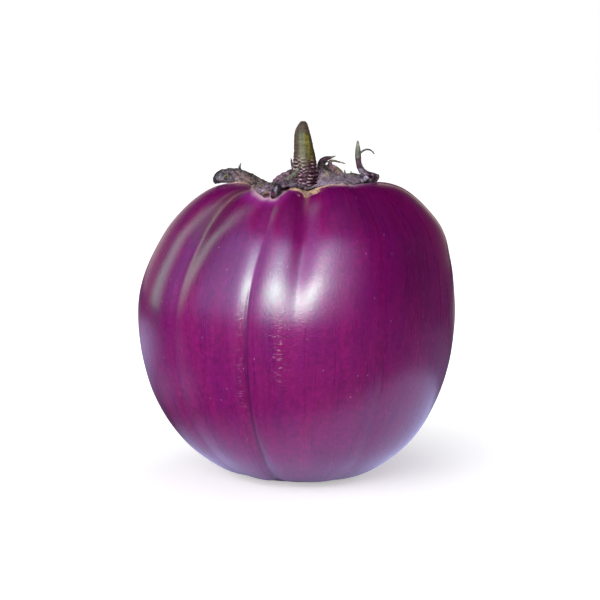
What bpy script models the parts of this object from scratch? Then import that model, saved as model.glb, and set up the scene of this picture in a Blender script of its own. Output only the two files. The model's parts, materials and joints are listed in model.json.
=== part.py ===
"""A round, lobed purple eggplant that stands on its blossom end.

Three pieces: the fruit, the calyx with its curled sepals and prickles, and the stem.
Metres, +Z up. The origin is the middle of the flat resting spot, on the surface that the
eggplant stands on. Azimuths are in degrees: 0 faces -Y, the front, and 90 faces +X.
"""

import math
from collections import namedtuple

import bmesh
import bpy
from mathutils import Matrix, Vector
from mathutils.bvhtree import BVHTree

MM = 0.001

# Fruit: its outline from the middle of the flat foot, up the side and down into the hollow
# under the calyx, as radius and height in millimetres
FRUIT_PROFILE = (
    (0.0, 0.0),
    (13.0, 0.0),
    (20.0, 1.2),
    (28.0, 3.2),
    (35.6, 7.8),
    (42.7, 13.9),
    (48.6, 21.4),
    (52.9, 29.1),
    (56.1, 36.8),
    (58.7, 47.0),
    (60.0, 58.0),
    (60.1, 67.5),
    (58.7, 77.5),
    (56.2, 86.1),
    (52.7, 94.7),
    (47.8, 101.2),
    (41.7, 107.2),
    (35.1, 111.3),
    (27.0, 112.8),
    (20.3, 111.0),
    (13.4, 108.1),
    (6.7, 105.8),
    (0.0, 105.4),
)
# Sideways shift of the fruit's middle at each height, in millimetres
FRUIT_LEAN = (
    (0, 0.0),
    (15, -0.35),
    (30, -0.9),
    (45, -0.85),
    (60, -0.8),
    (72, -0.45),
    (84, 1.0),
    (94, 2.6),
    (104, 3.1),
    (113, 3.8),
)
REAR_DROP = 0.0013
RINGS = 34
MERIDIAN_STEP = 6.5
FURROW_STEPS = (-4.5, -1.8, 0.0, 1.8, 4.5)
SHOULDER_HEIGHTS = (0.058, 0.106)
FOOT_HEIGHTS = (0.006, 0.046)
# The furrows end before the flat resting spot below, and before the middle of the hollow above
RESTING_RADIUS = 0.013
FURROW_START = 0.012

# Furrow depths at the shoulder, the waist and the foot, and the width of one side
Furrow = namedtuple("Furrow", "azimuth shoulder waist foot width")
FURROWS = (
    Furrow(-153, 0.0034, 0.0008, 0.0010, 0.0060),
    Furrow(-98, 0.0014, 0.0004, 0.0006, 0.0060),
    Furrow(-47, 0.0026, 0.0010, 0.0008, 0.0070),
    Furrow(-17, 0.0010, 0.0009, 0.0012, 0.0020),
    Furrow(-1.5, 0.0032, 0.0005, 0.0006, 0.0042),
    Furrow(31, 0.0005, 0.0002, 0.0004, 0.0030),
    Furrow(87, 0.0030, 0.0014, 0.0008, 0.0050),
    Furrow(128, 0.0020, 0.0007, 0.0008, 0.0050),
    Furrow(172, 0.0020, 0.0006, 0.0010, 0.0050),
)

# How far the cutters stand out from the fruit and the stem, for a gap of 0.3 mm
CUT_GROWTH = 0.00036

# Stem, from its foot to its tip: height, radius and sideways shift, in millimetres
STEM_ROWS = (
    (109.6, 4.6, 2.8),
    (113.0, 4.75, 2.6),
    (116.0, 4.65, 2.4),
    (118.7, 4.45, 2.2),
    (120.6, 4.25, 2.1),
    (124.3, 3.7, 1.9),
    (128.0, 3.3, 1.5),
    (131.0, 2.7, 1.3),
    (133.4, 1.75, 1.5),
    (134.4, 1.2, 1.6),
)
STEM_SIDES = 22
STEM_RINGS = 44
WRINKLE_PITCH = 0.0017
WRINKLE_DEPTH = 0.00028
WRINKLE_TOP = 0.1215
STEM_RIBS = 5
STEM_RIB_DEPTH = 0.00022

# Calyx: the cap that lies on the fruit. How far it reaches from its middle at each azimuth,
# in millimetres, so the lobes and the bays between them
CALYX_CENTRE = Vector((0.0033, 0.0, 0.0))
CAP_REACH = (
    (-172, 30.0),
    (-148, 20.5),
    (-122, 30.0),
    (-102, 20.5),
    (-82, 22.0),
    (-57, 23.0),
    (-42, 29.5),
    (-30, 36.0),
    (-20, 37.0),
    (-12, 33.5),
    (-7, 29.0),
    (-2, 24.5),
    (5, 27.0),
    (13, 29.5),
    (28, 30.5),
    (43, 28.5),
    (60, 26.0),
    (77, 23.0),
    (99, 19.0),
    (128, 22.0),
    (156, 19.0),
)
CAP_SEGMENTS = 60
CAP_THICKNESS = 0.0018
# Share of the reach and share of the thickness, from the middle out and back under the skin
CAP_RINGS = (
    (0.00, 1.0), (0.13, 1.0), (0.22, 1.0), (0.32, 1.0), (0.43, 1.0), (0.55, 1.0),
    (0.67, 1.0), (0.79, 1.0), (0.89, 0.95), (0.96, 0.8), (1.00, 0.45), (1.00, -1.4),
    (0.50, -2.0), (0.00, -2.0),
)
CROWN_RISE = 0.0120
CROWN_SLOPE = (0.005, 0.018)
CROWN_FRONT_SHARE = 0.37
CROWN_FRONT_WIDTH = 68

# Swellings of the cap: azimuth, distance, height and radius, in millimetres
SWELLINGS = (
    (-13, 28.5, 2.3, 4.2),
    (-22, 34.5, 0.9, 3.0),
    (-60, 20.0, 0.5, 4.0),
    (-76, 15.5, -1.0, 3.2),
    (-74, 10.5, 2.6, 3.2),
    (40, 17.0, 2.4, 6.5),
    (75, 16.0, 3.4, 6.5),
    (110, 15.0, 2.4, 6.0),
    (-122, 22.0, 0.5, 5.0),
    (-172, 21.0, 0.6, 5.0),
)
# The hollow under the rolled edge of the front lobe: azimuth, distance, lift and half sizes
HOLLOW = (-13.0, 31.2, 0.9, (3.0, 4.8, 1.25))

# Tongues: the lobes that leave the skin. Each row is the distance from the calyx's middle,
# the lift over the skin, half the width, the thickness above and below that line, and how
# far the two edges droop, all in millimetres
Tongue = namedtuple("Tongue", "azimuth rows")
TONGUES = {
    "left": Tongue(-82, (
        (9.0, 2.0, 4.4, 2.0, 5.0, 0.0),
        (14.0, 1.2, 5.0, 1.4, 3.5, 0.4),
        (19.0, 2.2, 5.6, 1.7, 2.8, 1.2),
        (24.0, 2.8, 6.0, 1.9, 2.7, 2.0),
        (28.5, 3.4, 6.0, 1.9, 1.9, 2.4),
        (31.8, 3.9, 5.6, 1.6, 1.6, 2.3),
        (34.0, 3.3, 4.8, 1.4, 1.4, 1.5),
        (34.7, 1.9, 3.6, 1.1, 1.1, 0.6),
    )),
    "right": Tongue(72, (
        (8.0, 5.2, 6.0, 1.6, 6.0, 0.0),
        (13.0, 6.0, 6.4, 1.4, 7.0, 0.3),
        (17.5, 5.0, 6.2, 1.3, 6.0, 0.3),
        (21.0, 3.0, 5.6, 1.1, 4.5, 0.2),
        (24.0, 1.0, 4.9, 0.9, 2.0, 0.0),
        (26.0, 0.8, 4.0, 0.8, 0.8, 0.0),
    )),
    "right tail": Tongue(72, (
        (23.0, 0.9, 4.2, 0.7, 1.0, 0.0),
        (25.4, 0.95, 4.4, 0.75, 0.75, 0.0),
        (26.5, 1.3, 4.3, 0.75, 0.75, 0.0),
        (26.7, 2.4, 4.1, 0.8, 0.8, 0.0),
        (25.8, 3.3, 3.7, 0.9, 0.9, 0.0),
        (23.6, 4.0, 3.0, 1.0, 1.0, 0.0),
        (21.6, 5.2, 2.2, 1.1, 1.1, 0.0),
        (20.4, 7.4, 1.7, 1.1, 1.1, 0.0),
        (19.9, 10.0, 1.45, 1.0, 1.0, 0.0),
        (19.6, 12.6, 1.2, 0.9, 0.9, 0.0),
        (19.6, 15.0, 0.8, 0.65, 0.65, 0.0),
        (19.5, 17.2, 0.3, 0.3, 0.3, 0.0),
    )),
    "back right": Tongue(135, (
        (6.0, 6.0, 6.0, 1.5, 7.0, 0.0),
        (9.5, 5.8, 7.6, 1.2, 6.0, -0.4),
        (12.0, 7.2, 7.6, 1.0, 3.0, -0.5),
        (12.6, 9.0, 5.6, 0.9, 0.9, -0.5),
        (12.4, 10.6, 3.0, 0.8, 0.8, -0.4),
        (12.0, 11.8, 1.3, 0.6, 0.6, -0.2),
    )),
}
TONGUE_SIDES = 14
TONGUE_STEPS = 2

# Prickles: radius at the root and at the tip, and the points that the prickle passes through,
# in millimetres
Prickle = namedtuple("Prickle", "root tip points")
PRICKLES = (
    Prickle(0.60, 0.20, ((-21.5, -3.5, 115.0), (-22.2, -3.5, 117.6), (-21.8, -3.5, 119.0))),
    Prickle(0.85, 0.40, ((-27.3, -6.5, 114.4), (-27.7, -11.4, 114.9))),
    Prickle(1.30, 0.45, ((-5.6, -26.2, 111.6), (-2.6, -22.7, 115.4), (-0.2, -19.0, 118.5))),
    Prickle(0.60, 0.20, ((-1.4, 3.8, 114.6), (-2.6, 4.3, 118.4), (-2.9, 4.5, 120.5))),
    Prickle(0.42, 0.30, (
        (22.5, -6.3, 122.6), (24.4, -6.3, 124.3), (25.8, -6.3, 124.5), (26.9, -6.3, 124.1),
        (27.9, -6.3, 123.0),
    )),
    Prickle(0.60, 0.30, (
        (12.2, 9.2, 114.6), (11.6, 9.2, 120.2), (13.2, 9.0, 120.5), (15.1, 9.0, 119.7),
        (17.2, 9.0, 118.9),
    )),
    Prickle(1.45, 0.25, ((8.6, 8.9, 111.6), (8.4, 8.5, 119.0), (10.2, 8.6, 121.6),
                         (13.3, 9.0, 122.4))),
    Prickle(1.35, 1.00, ((8.8, 8.9, 112.4), (8.8, 8.7, 118.6), (10.2, 8.7, 120.6))),
    Prickle(0.55, 0.22, ((19.2, -2.0, 114.0), (19.6, -2.0, 116.4))),
    Prickle(0.70, 0.22, ((-16.5, 11.5, 110.6), (-18.0, 13.0, 112.6), (-20.4, 15.0, 113.6))),
    Prickle(0.65, 0.22, ((1.4, 14.4, 106.8), (0.8, 18.0, 111.4), (0.2, 20.6, 112.8))),
    Prickle(0.60, 0.22, ((15.8, -13.0, 112.0), (16.8, -14.0, 115.6))),
    Prickle(1.50, 1.20, ((19.5, -5.4, 113.4), (23.0, -6.4, 113.8), (26.6, -7.6, 113.9))),
)
PRICKLE_SIDES = 6

SKIN_PURPLE = (0.21, 0.008, 0.130, 1.0)
CALYX_PURPLE = (0.115, 0.080, 0.095, 1.0)
STEM_OLIVE = (0.175, 0.150, 0.075, 1.0)


def clear_scene():
    for obj in list(bpy.data.objects):
        bpy.data.objects.remove(obj)


def material(name, colour, roughness):
    made = bpy.data.materials.new(name)
    made.use_nodes = True
    shader = made.node_tree.nodes["Principled BSDF"]
    shader.inputs["Base Color"].default_value = colour
    shader.inputs["Roughness"].default_value = roughness
    shader.inputs["Metallic"].default_value = 0.0
    return made


def collection(name):
    made = bpy.data.collections.new(name)
    bpy.context.scene.collection.children.link(made)
    return made


def add_object(name, bm, group):
    """Turns a bmesh into a named object in the group."""
    mesh = bpy.data.meshes.new(name)
    bm.to_mesh(mesh)
    bm.free()
    obj = bpy.data.objects.new(name, mesh)
    group.objects.link(obj)
    return obj


def finish(obj, look, sharp_degrees=50):
    obj.data.materials.clear()
    obj.data.materials.append(look)
    obj.data.shade_smooth()
    obj.data.set_sharp_from_angle(angle=math.radians(sharp_degrees))


def ease(low, high, value):
    """0 below low and 1 above high, smooth between them."""
    share = min(max((value - low) / (high - low), 0.0), 1.0)
    return share * share * (3 - 2 * share)


def smooth_row(rows, at):
    """The columns after the first, read at one value of the first column, on a smooth curve."""
    keys = [row[0] for row in rows]
    at = min(max(at, keys[0]), keys[-1])
    i = max(k for k in range(len(keys) - 1) if keys[k] <= at)
    span = keys[i + 1] - keys[i]
    t = (at - keys[i]) / span
    found = []
    for column in range(1, len(rows[0])):
        def slope(k):
            low, high = max(k - 1, 0), min(k + 1, len(rows) - 1)
            return (rows[high][column] - rows[low][column]) / (keys[high] - keys[low])

        start, end = rows[i][column], rows[i + 1][column]
        found.append(
            (2 * t**3 - 3 * t**2 + 1) * start
            + (t**3 - 2 * t**2 + t) * span * slope(i)
            + (3 * t**2 - 2 * t**3) * end
            + (t**3 - t**2) * span * slope(i + 1)
        )
    return found


def outward(azimuth):
    """The level direction that an azimuth in degrees points in."""
    angle = math.radians(azimuth)
    return Vector((math.sin(angle), -math.cos(angle), 0.0))


def furrow_depth(azimuth, radius, height):
    """How far the furrows draw the skin in at this place."""
    shoulder = ease(*SHOULDER_HEIGHTS, height)
    foot = 1 - ease(*FOOT_HEIGHTS, height)
    depth = 0.0
    for furrow in FURROWS:
        turn = abs((azimuth - furrow.azimuth + 180) % 360 - 180)
        across = math.radians(turn) * radius / furrow.width
        here = (
            furrow.waist
            + (furrow.shoulder - furrow.waist) * shoulder
            + (furrow.foot - furrow.waist) * foot
        )
        depth += here * math.exp(-(across**1.25))
    start = RESTING_RADIUS if height < FURROW_START else 0.0
    return depth * ease(start, start + FURROW_START, radius)


def profile_rings():
    """(radius, height, inward step, downward step) of each ring of the fruit."""
    numbered = [(i, *row) for i, row in enumerate(FRUIT_PROFILE)]
    last = len(FRUIT_PROFILE) - 1
    rings = []
    for i in range(RINGS + 1):
        at = last * i / RINGS
        radius, height = smooth_row(numbered, at)
        low, high = smooth_row(numbered, max(at - 0.1, 0)), smooth_row(numbered, at + 0.1)
        along = Vector((high[0] - low[0], high[1] - low[1])).normalized()
        rings.append((radius * MM, max(height, 0.0) * MM, -along.y, along.x))
    return rings


def fruit_point(azimuth, ring, furrowed):
    """The point of the skin at one azimuth of a ring."""
    radius, height, inward, rise = ring
    if furrowed:
        depth = furrow_depth(azimuth, radius, height)
        radius += inward * depth
        height = max(height + rise * depth, 0.0)
    place = outward(azimuth) * radius
    height -= REAR_DROP * ease(0.070, 0.115, height) * ease(-0.030, 0.045, place.y)
    lean = smooth_row(FRUIT_LEAN, height / MM)[0] * MM
    return place + Vector((lean, 0.0, height))


def ring_index(cosine, count):
    """Which ring of a unit sphere a point is on, counted from the pole where cosine is 1."""
    return round(math.acos(min(max(cosine, -1.0), 1.0)) / math.pi * count)


def meridians():
    """Azimuths of the fruit's mesh lines, closer together at each furrow."""
    marks = sorted(f.azimuth + step for f in FURROWS for step in FURROW_STEPS)
    found = []
    for start, end in zip(marks, marks[1:] + [marks[0] + 360]):
        count = max(1, round((end - start) / MERIDIAN_STEP))
        found += [start + (end - start) * i / count for i in range(count)]
    return found


def fruit_mesh(furrowed=True, grow=0.0):
    """The fruit: a sphere whose points move onto the skin, grown outwards if asked."""
    azimuths, rings = meridians(), profile_rings()
    count = len(azimuths)
    bm = bmesh.new()
    bmesh.ops.create_uvsphere(bm, u_segments=count, v_segments=RINGS, radius=1.0)
    for vert in bm.verts:
        ring = ring_index(-vert.co.z, RINGS)
        azimuth = azimuths[round(math.atan2(vert.co.y, vert.co.x) / math.tau * count) % count]
        vert.co = fruit_point(azimuth, rings[ring], furrowed)
    bm.normal_update()
    for vert, normal in [(vert, vert.normal.copy()) for vert in bm.verts]:
        vert.co += normal * grow
    return bm


def swept_body(stations, sides, shape=None):
    """A closed body along stations of (centre, side, up, half width, above, below, droop).

    It starts as a sphere whose rings move to the stations and whose poles are its two ends.
    Side, up and the way along the stations are right-handed, so that the faces look outwards.
    """
    last = len(stations) - 1
    bm = bmesh.new()
    bmesh.ops.create_uvsphere(bm, u_segments=sides, v_segments=last, radius=1.0)
    for vert in bm.verts:
        index = ring_index(-vert.co.z, last)
        centre, side, up, width, above, below, droop = stations[index]
        if index in (0, last):
            vert.co = centre
            continue
        angle = math.atan2(vert.co.y, vert.co.x)
        across, lift = math.cos(angle), math.sin(angle)
        height = lift * (above if lift > 0 else below) - droop * across * across
        vert.co = centre + side * across * width + up * height
        if shape:
            vert.co = shape(vert.co, centre, angle)
    return bm


def skin_under(skin, azimuth, distance):
    """The point of the skin below a place that is given from the calyx's middle."""
    spot = CALYX_CENTRE + outward(azimuth) * distance
    return skin.ray_cast(Vector((spot.x, spot.y, 1.0)), Vector((0, 0, -1)))[0]


def cap_reach(azimuth):
    first, last = CAP_REACH[0], CAP_REACH[-1]
    rows = ((last[0] - 360, last[1]), *CAP_REACH, (first[0] + 360, first[1]))
    return smooth_row(rows, (azimuth + 180) % 360 - 180)[0] * MM


def cap_rise(azimuth, distance):
    """How far the cap stands up over its plain thickness: the crown and the swellings."""
    turn = (azimuth + 180) % 360 - 180
    front = math.exp(-((turn / CROWN_FRONT_WIDTH) ** 4))
    crown = CROWN_RISE * (1 - ease(*CROWN_SLOPE, distance))
    rise = crown * (1 - (1 - CROWN_FRONT_SHARE) * front)
    place = outward(azimuth) * distance
    for about, away, height, radius in SWELLINGS:
        gap = (place - outward(about) * away * MM).length / (radius * MM)
        rise += height * MM * math.exp(-gap * gap)
    return rise


def cap_body(skin):
    """The cap of the calyx: a sphere whose rings are laid on the skin."""
    last = len(CAP_RINGS) - 1
    bm = bmesh.new()
    bmesh.ops.create_uvsphere(bm, u_segments=CAP_SEGMENTS, v_segments=last, radius=1.0)
    for vert in bm.verts:
        azimuth = math.degrees(math.atan2(vert.co.x, -vert.co.y))
        share, layer = CAP_RINGS[ring_index(vert.co.z, last)]
        distance = cap_reach(azimuth) * share
        point = skin_under(skin, azimuth, distance)
        lift = CAP_THICKNESS * layer
        if layer > 0:
            lift += cap_rise(azimuth, distance)
        vert.co = point + Vector((0, 0, lift))
    return bm


def hollow_body(skin):
    azimuth, distance, lift, sizes = HOLLOW
    point = skin_under(skin, azimuth, distance * MM)
    bm = bmesh.new()
    bmesh.ops.create_uvsphere(bm, u_segments=16, v_segments=10, radius=MM)
    bmesh.ops.scale(bm, vec=sizes, verts=bm.verts)
    turn = Matrix.Rotation(math.radians(azimuth), 3, "Z")
    bmesh.ops.rotate(bm, matrix=turn, verts=bm.verts)
    bmesh.ops.translate(bm, vec=point + Vector((0, 0, lift * MM)), verts=bm.verts)
    return bm


def smooth_rows(rows, steps):
    """Rows with more rows between them, on a smooth curve through all of them."""
    numbered = [(i, *row) for i, row in enumerate(rows)]
    count = (len(rows) - 1) * steps
    return [smooth_row(numbered, i / steps) for i in range(count + 1)]


def headings(points):
    """The direction of a line of points at each of them."""
    ahead = points[1:] + points[-1:]
    behind = points[:1] + points[:-1]
    return [(b - a).normalized() for a, b in zip(behind, ahead)]


def tongue_body(skin, tongue):
    """A lobe that leaves the skin: thick, with a rounded or drawn-out tip."""
    side = Vector((0, 0, 1)).cross(outward(tongue.azimuth))
    rows = smooth_rows(tongue.rows, TONGUE_STEPS)
    centres = []
    for distance, lift, *_ in rows:
        point = skin_under(skin, tongue.azimuth, distance * MM)
        centres.append(point + Vector((0, 0, lift * MM)))
    stations = []
    for centre, heading, row in zip(centres, headings(centres), rows):
        width, above, below, droop = (value * MM for value in row[2:])
        up = heading.cross(side)
        stations.append((centre, side, up, width, above, below, droop))
    first, last = stations[0], stations[-1]
    tip = headings(centres)[-1] * last[4]
    stations = [first, *stations, (last[0] + tip, *last[1:])]
    return swept_body(stations, TONGUE_SIDES)


def prickle_body(prickle):
    """A prickle: a cone along a curve, from inside the part that it grows from."""
    steps = 2 if len(prickle.points) > 2 else 3
    points = [Vector(row) * MM for row in smooth_rows(prickle.points, steps)]
    aims = headings(points)
    across = aims[0].orthogonal().normalized()
    stations = []
    for i, (point, aim) in enumerate(zip(points, aims)):
        across = (across - aim * across.dot(aim)).normalized()
        share = i / (len(points) - 1)
        radius = (prickle.root + (prickle.tip - prickle.root) * share) * MM
        stations.append((point, across, aim.cross(across), radius, radius, radius, 0))
    first, last = stations[0], stations[-1]
    end = (last[0] + aims[-1] * prickle.tip * MM, *last[1:])
    return swept_body([first, *stations, end], PRICKLE_SIDES)


def stem_mesh(grow=0.0):
    """The stem: wrinkled where it swells over the calyx, ribbed and thinner above."""
    foot, top = STEM_ROWS[0][0] * MM, STEM_ROWS[-1][0] * MM
    side, back = Vector((1, 0, 0)), Vector((0, 1, 0))
    stations = []
    for i in range(STEM_RINGS + 1):
        height = foot + (top - foot) * i / STEM_RINGS
        radius, shift = smooth_row(STEM_ROWS, height / MM)
        wave = math.sin(math.tau * (height - foot) / WRINKLE_PITCH)
        fade = 1 - ease(WRINKLE_TOP - 0.003, WRINKLE_TOP, height)
        radius = radius * MM + WRINKLE_DEPTH * wave * fade + grow
        centre = Vector((shift * MM, 0, height))
        stations.append((centre, side, back, radius, radius, radius, 0))
    crown = stations[-1]
    tip = Vector((crown[0].x, 0, top + 0.0004 + grow))
    stations = [stations[0], *stations, (tip, *crown[1:])]

    def ribbed(point, centre, angle):
        return point + (point - centre).normalized() * STEM_RIB_DEPTH * math.cos(STEM_RIBS * angle)

    return swept_body(stations, STEM_SIDES, ribbed)


def boolean(obj, other, operation, solver="EXACT"):
    """Joins to obj, or cuts from it, another object, which is then removed."""
    modifier = obj.modifiers.new(operation.lower(), "BOOLEAN")
    modifier.operation = operation
    modifier.solver = solver
    modifier.object = other
    with bpy.context.temp_override(object=obj, active_object=obj):
        bpy.ops.object.modifier_apply(modifier=modifier.name)
    bpy.data.objects.remove(other)


def union_all(obj, group):
    """Joins every object of the group to obj in one Boolean, and removes them."""
    modifier = obj.modifiers.new("union", "BOOLEAN")
    modifier.operation = "UNION"
    modifier.operand_type = "COLLECTION"
    modifier.solver = "EXACT"
    modifier.collection = group
    with bpy.context.temp_override(object=obj, active_object=obj):
        bpy.ops.object.modifier_apply(modifier=modifier.name)
    for other in list(group.objects):
        bpy.data.objects.remove(other)


def build_fruit(group):
    fruit = add_object("fruit", fruit_mesh(), group)
    finish(fruit, material("purple skin", SKIN_PURPLE, 0.25))


def build_stem(group):
    stem = add_object("stem", stem_mesh(), group)
    finish(stem, material("olive stem", STEM_OLIVE, 0.6))


def build_calyx(group, cutters):
    """The cap with its tongues and prickles, hollowed to fit the fruit and the stem."""
    furrowed, smooth = fruit_mesh(), fruit_mesh(furrowed=False)
    skin, plain_skin = BVHTree.FromBMesh(furrowed), BVHTree.FromBMesh(smooth)
    furrowed.free()
    smooth.free()
    calyx = add_object("calyx", cap_body(skin), group)
    for name, tongue in TONGUES.items():
        add_object("tongue " + name, tongue_body(plain_skin, tongue), cutters)
    for i, prickle in enumerate(PRICKLES):
        add_object(f"prickle {i}", prickle_body(prickle), cutters)
    union_all(calyx, cutters)
    for name, cutter in (
        ("hollow", hollow_body(skin)),
        ("fruit cutter", fruit_mesh(grow=CUT_GROWTH)),
        ("stem cutter", stem_mesh(grow=CUT_GROWTH)),
    ):
        boolean(calyx, add_object(name, cutter, cutters), "DIFFERENCE")
    finish(calyx, material("leathery calyx", CALYX_PURPLE, 0.7), 60)


def build():
    clear_scene()
    parts = collection("eggplant")
    cutters = collection("cutters")
    build_fruit(parts)
    build_stem(parts)
    build_calyx(parts, cutters)
    bpy.data.collections.remove(cutters)


build()
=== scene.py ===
# %% [markdown]
# # A round, lobed purple eggplant
# The solids are already made and packed: a fruit, a calyx and a stem. They are right in size and
# in outline, but they are coarse. This lesson dresses them: each one gets a finer piece in the
# same place, with the skin, the felt and the bark that the real vegetable shows. The model is
# measured in metres, and most tables here are in millimetres, which are easier to read.

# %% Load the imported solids
import json
import math

import bpy
import numpy as np
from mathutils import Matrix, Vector
from mathutils.bvhtree import BVHTree

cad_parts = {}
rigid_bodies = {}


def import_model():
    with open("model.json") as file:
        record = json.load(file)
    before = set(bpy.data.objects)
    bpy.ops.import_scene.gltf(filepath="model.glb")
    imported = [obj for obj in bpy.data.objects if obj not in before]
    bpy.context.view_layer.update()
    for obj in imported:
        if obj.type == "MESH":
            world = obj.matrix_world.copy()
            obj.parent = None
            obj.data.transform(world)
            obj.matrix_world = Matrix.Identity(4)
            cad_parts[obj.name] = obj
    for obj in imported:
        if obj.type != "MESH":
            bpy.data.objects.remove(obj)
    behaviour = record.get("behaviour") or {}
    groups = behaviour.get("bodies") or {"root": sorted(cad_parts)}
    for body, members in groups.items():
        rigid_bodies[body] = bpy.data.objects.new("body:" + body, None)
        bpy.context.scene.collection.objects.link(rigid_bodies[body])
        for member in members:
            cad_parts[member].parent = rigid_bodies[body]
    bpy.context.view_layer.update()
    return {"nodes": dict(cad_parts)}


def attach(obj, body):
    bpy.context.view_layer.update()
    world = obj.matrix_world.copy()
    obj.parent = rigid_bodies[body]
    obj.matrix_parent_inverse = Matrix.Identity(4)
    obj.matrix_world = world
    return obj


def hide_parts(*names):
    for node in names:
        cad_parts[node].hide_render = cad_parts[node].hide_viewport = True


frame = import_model()
MM = 0.001
print("solids:", sorted(frame["nodes"]))

# %% [markdown]
# ## The camera
# A long lens from a little above the middle: the photograph looks almost level, so the far rim of
# the calyx stays just hidden behind the near one. The camera comes first, because every later
# choice is looked at through it.

# %% Camera
CAMERA_ELEVATION = math.radians(7)
CAMERA_DISTANCE = 0.633
CAMERA_TARGET = Vector((0.0004, 0.0, 0.06733))

lens = bpy.data.cameras.new("camera")
lens.lens = 100
lens.sensor_width = 36
lens.clip_start = 0.02
camera = bpy.data.objects.new("camera", lens)
bpy.context.scene.collection.objects.link(camera)
away = Vector((0, -math.cos(CAMERA_ELEVATION), math.sin(CAMERA_ELEVATION)))
camera.location = CAMERA_TARGET + away * CAMERA_DISTANCE
camera.rotation_euler = (-away).to_track_quat("-Z", "Y").to_euler()
bpy.context.scene.camera = camera
print("camera at", [round(v, 3) for v in camera.location])

# %% [markdown]
# ## Small helpers
# Blender's operators act on whatever is selected, and the solids are still selected after they
# are loaded. So each step starts by selecting nothing, then exactly the one object it works on.
# Shapes are worked out for all points of a mesh at once, which numpy does in one go.

# %% Selection and mesh helpers
def only(obj):
    """Selects one object and nothing else, and makes it active."""
    for other in bpy.context.view_layer.objects:
        other.select_set(False)
    obj.select_set(True)
    bpy.context.view_layer.objects.active = obj
    return obj


def points_of(obj):
    flat = np.empty(len(obj.data.vertices) * 3)
    obj.data.vertices.foreach_get("co", flat)
    return flat.reshape(-1, 3)


def move_points(obj, points):
    obj.data.vertices.foreach_set("co", np.ascontiguousarray(points, dtype=float).ravel())
    obj.data.update()


def normals_of(obj):
    flat = np.empty(len(obj.data.vertices) * 3)
    obj.data.vertices.foreach_get("normal", flat)
    return flat.reshape(-1, 3)


def paint(obj, name, values):
    """Stores a number or a direction for each point, which a material reads by its name."""
    values = np.asarray(values, dtype=float)
    kind, field = ("FLOAT", "value") if values.ndim == 1 else ("FLOAT_VECTOR", "vector")
    layer = obj.data.attributes.new(name, kind, "POINT")
    layer.data.foreach_set(field, np.ascontiguousarray(values).ravel())


def tree_of(obj):
    """The faces of a mesh, sorted so that the nearest one is found quickly."""
    return BVHTree.FromPolygons(
        [v.co.copy() for v in obj.data.vertices], [tuple(p.vertices) for p in obj.data.polygons]
    )


# %% [markdown]
# Shapes and colours are both described by small tables and a few soft functions: a smooth curve
# through the rows of a table, an ease from 0 to 1, a bell around a middle, and lumps that come
# from waves in seeded directions, so that every run of this lesson gives the same eggplant.

# %% Curves, falloffs and azimuths
def curve_through(rows, at):
    """Reads a table at many places at once, on a smooth curve through its rows."""
    rows = np.array(rows, dtype=float)
    keys, values = rows[:, 0], rows[:, 1:]
    low = np.maximum(np.arange(len(keys)) - 1, 0)
    high = np.minimum(np.arange(len(keys)) + 1, len(keys) - 1)
    slopes = (values[high] - values[low]) / (keys[high] - keys[low])[:, None]
    at = np.clip(np.asarray(at, dtype=float), keys[0], keys[-1])
    i = np.clip(np.searchsorted(keys, at, side="right") - 1, 0, len(keys) - 2)
    span = (keys[i + 1] - keys[i])[..., None]
    t = ((at - keys[i])[..., None]) / span
    return (
        (2 * t**3 - 3 * t**2 + 1) * values[i]
        + (t**3 - 2 * t**2 + t) * span * slopes[i]
        + (3 * t**2 - 2 * t**3) * values[i + 1]
        + (t**3 - t**2) * span * slopes[i + 1]
    )


def ease(low, high, value):
    """0 below low and 1 above high, smooth between them."""
    share = np.clip((value - low) / (high - low), 0, 1)
    return share * share * (3 - 2 * share)


def bell(value, middle, width):
    """1 at the middle, fading smoothly to nothing on both sides."""
    return np.exp(-(((value - middle) / width) ** 2))


def turn_from(azimuth, middle):
    """How many degrees an azimuth is from another, the short way round."""
    return (azimuth - middle + 180) % 360 - 180


def ripple(points, scale, seed, octaves=3):
    """Smooth lumps, about -1 to 1, made of waves in seeded directions."""
    draw = np.random.default_rng(seed)
    total = np.zeros(len(points))
    weight = 0.0
    for octave in range(octaves):
        for _ in range(6):
            wave = draw.normal(size=3)
            wave *= 2**octave / (np.linalg.norm(wave) * scale)
            total += np.sin(points @ wave * math.pi + draw.uniform(0, math.tau)) / 2**octave
        weight += 6 / 2**octave
    return total / math.sqrt(weight)


# %% [markdown]
# ## The skin
# The fruit is a tight, glossy skin over a body with soft lobes: nine shallow furrows run down
# from the calyx, deepest at the shoulder. The highlights slide over every ripple, so a coarse mesh
# would show as kinks in them. A lathed or a sculpted shape would do, but a fine sphere is the
# better start: it has a pole at the top and at the foot, like the fruit, and its meridians run the
# way the furrows do. Each of its points then moves onto the skin, whose outline is the same as
# that of the solid.

# %% Outline and furrows of the skin
# radius and height, from the foot to the top, in mm
SKIN_OUTLINE = (
    (0.0, 0.0), (13.0, 0.0), (20.0, 1.2), (28.0, 3.2), (35.6, 7.8), (42.7, 13.9), (48.6, 21.4),
    (52.9, 29.1), (56.1, 36.8), (58.7, 47.0), (60.0, 58.0), (60.1, 67.5), (58.7, 77.5),
    (56.2, 86.1), (52.7, 94.7), (47.8, 101.2), (41.7, 107.2), (35.1, 111.3), (27.0, 112.8),
    (20.3, 111.0), (13.4, 108.1), (6.7, 105.8), (0.0, 105.4),
)
# height, and how far the fruit leans to the right there
SKIN_LEAN = (
    (0, 0.0), (15, -0.35), (30, -0.9), (45, -0.85), (60, -0.8), (72, -0.45), (84, 1.0),
    (94, 2.6), (104, 3.1), (113, 3.8),
)
REAR_DROP = 1.3

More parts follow.
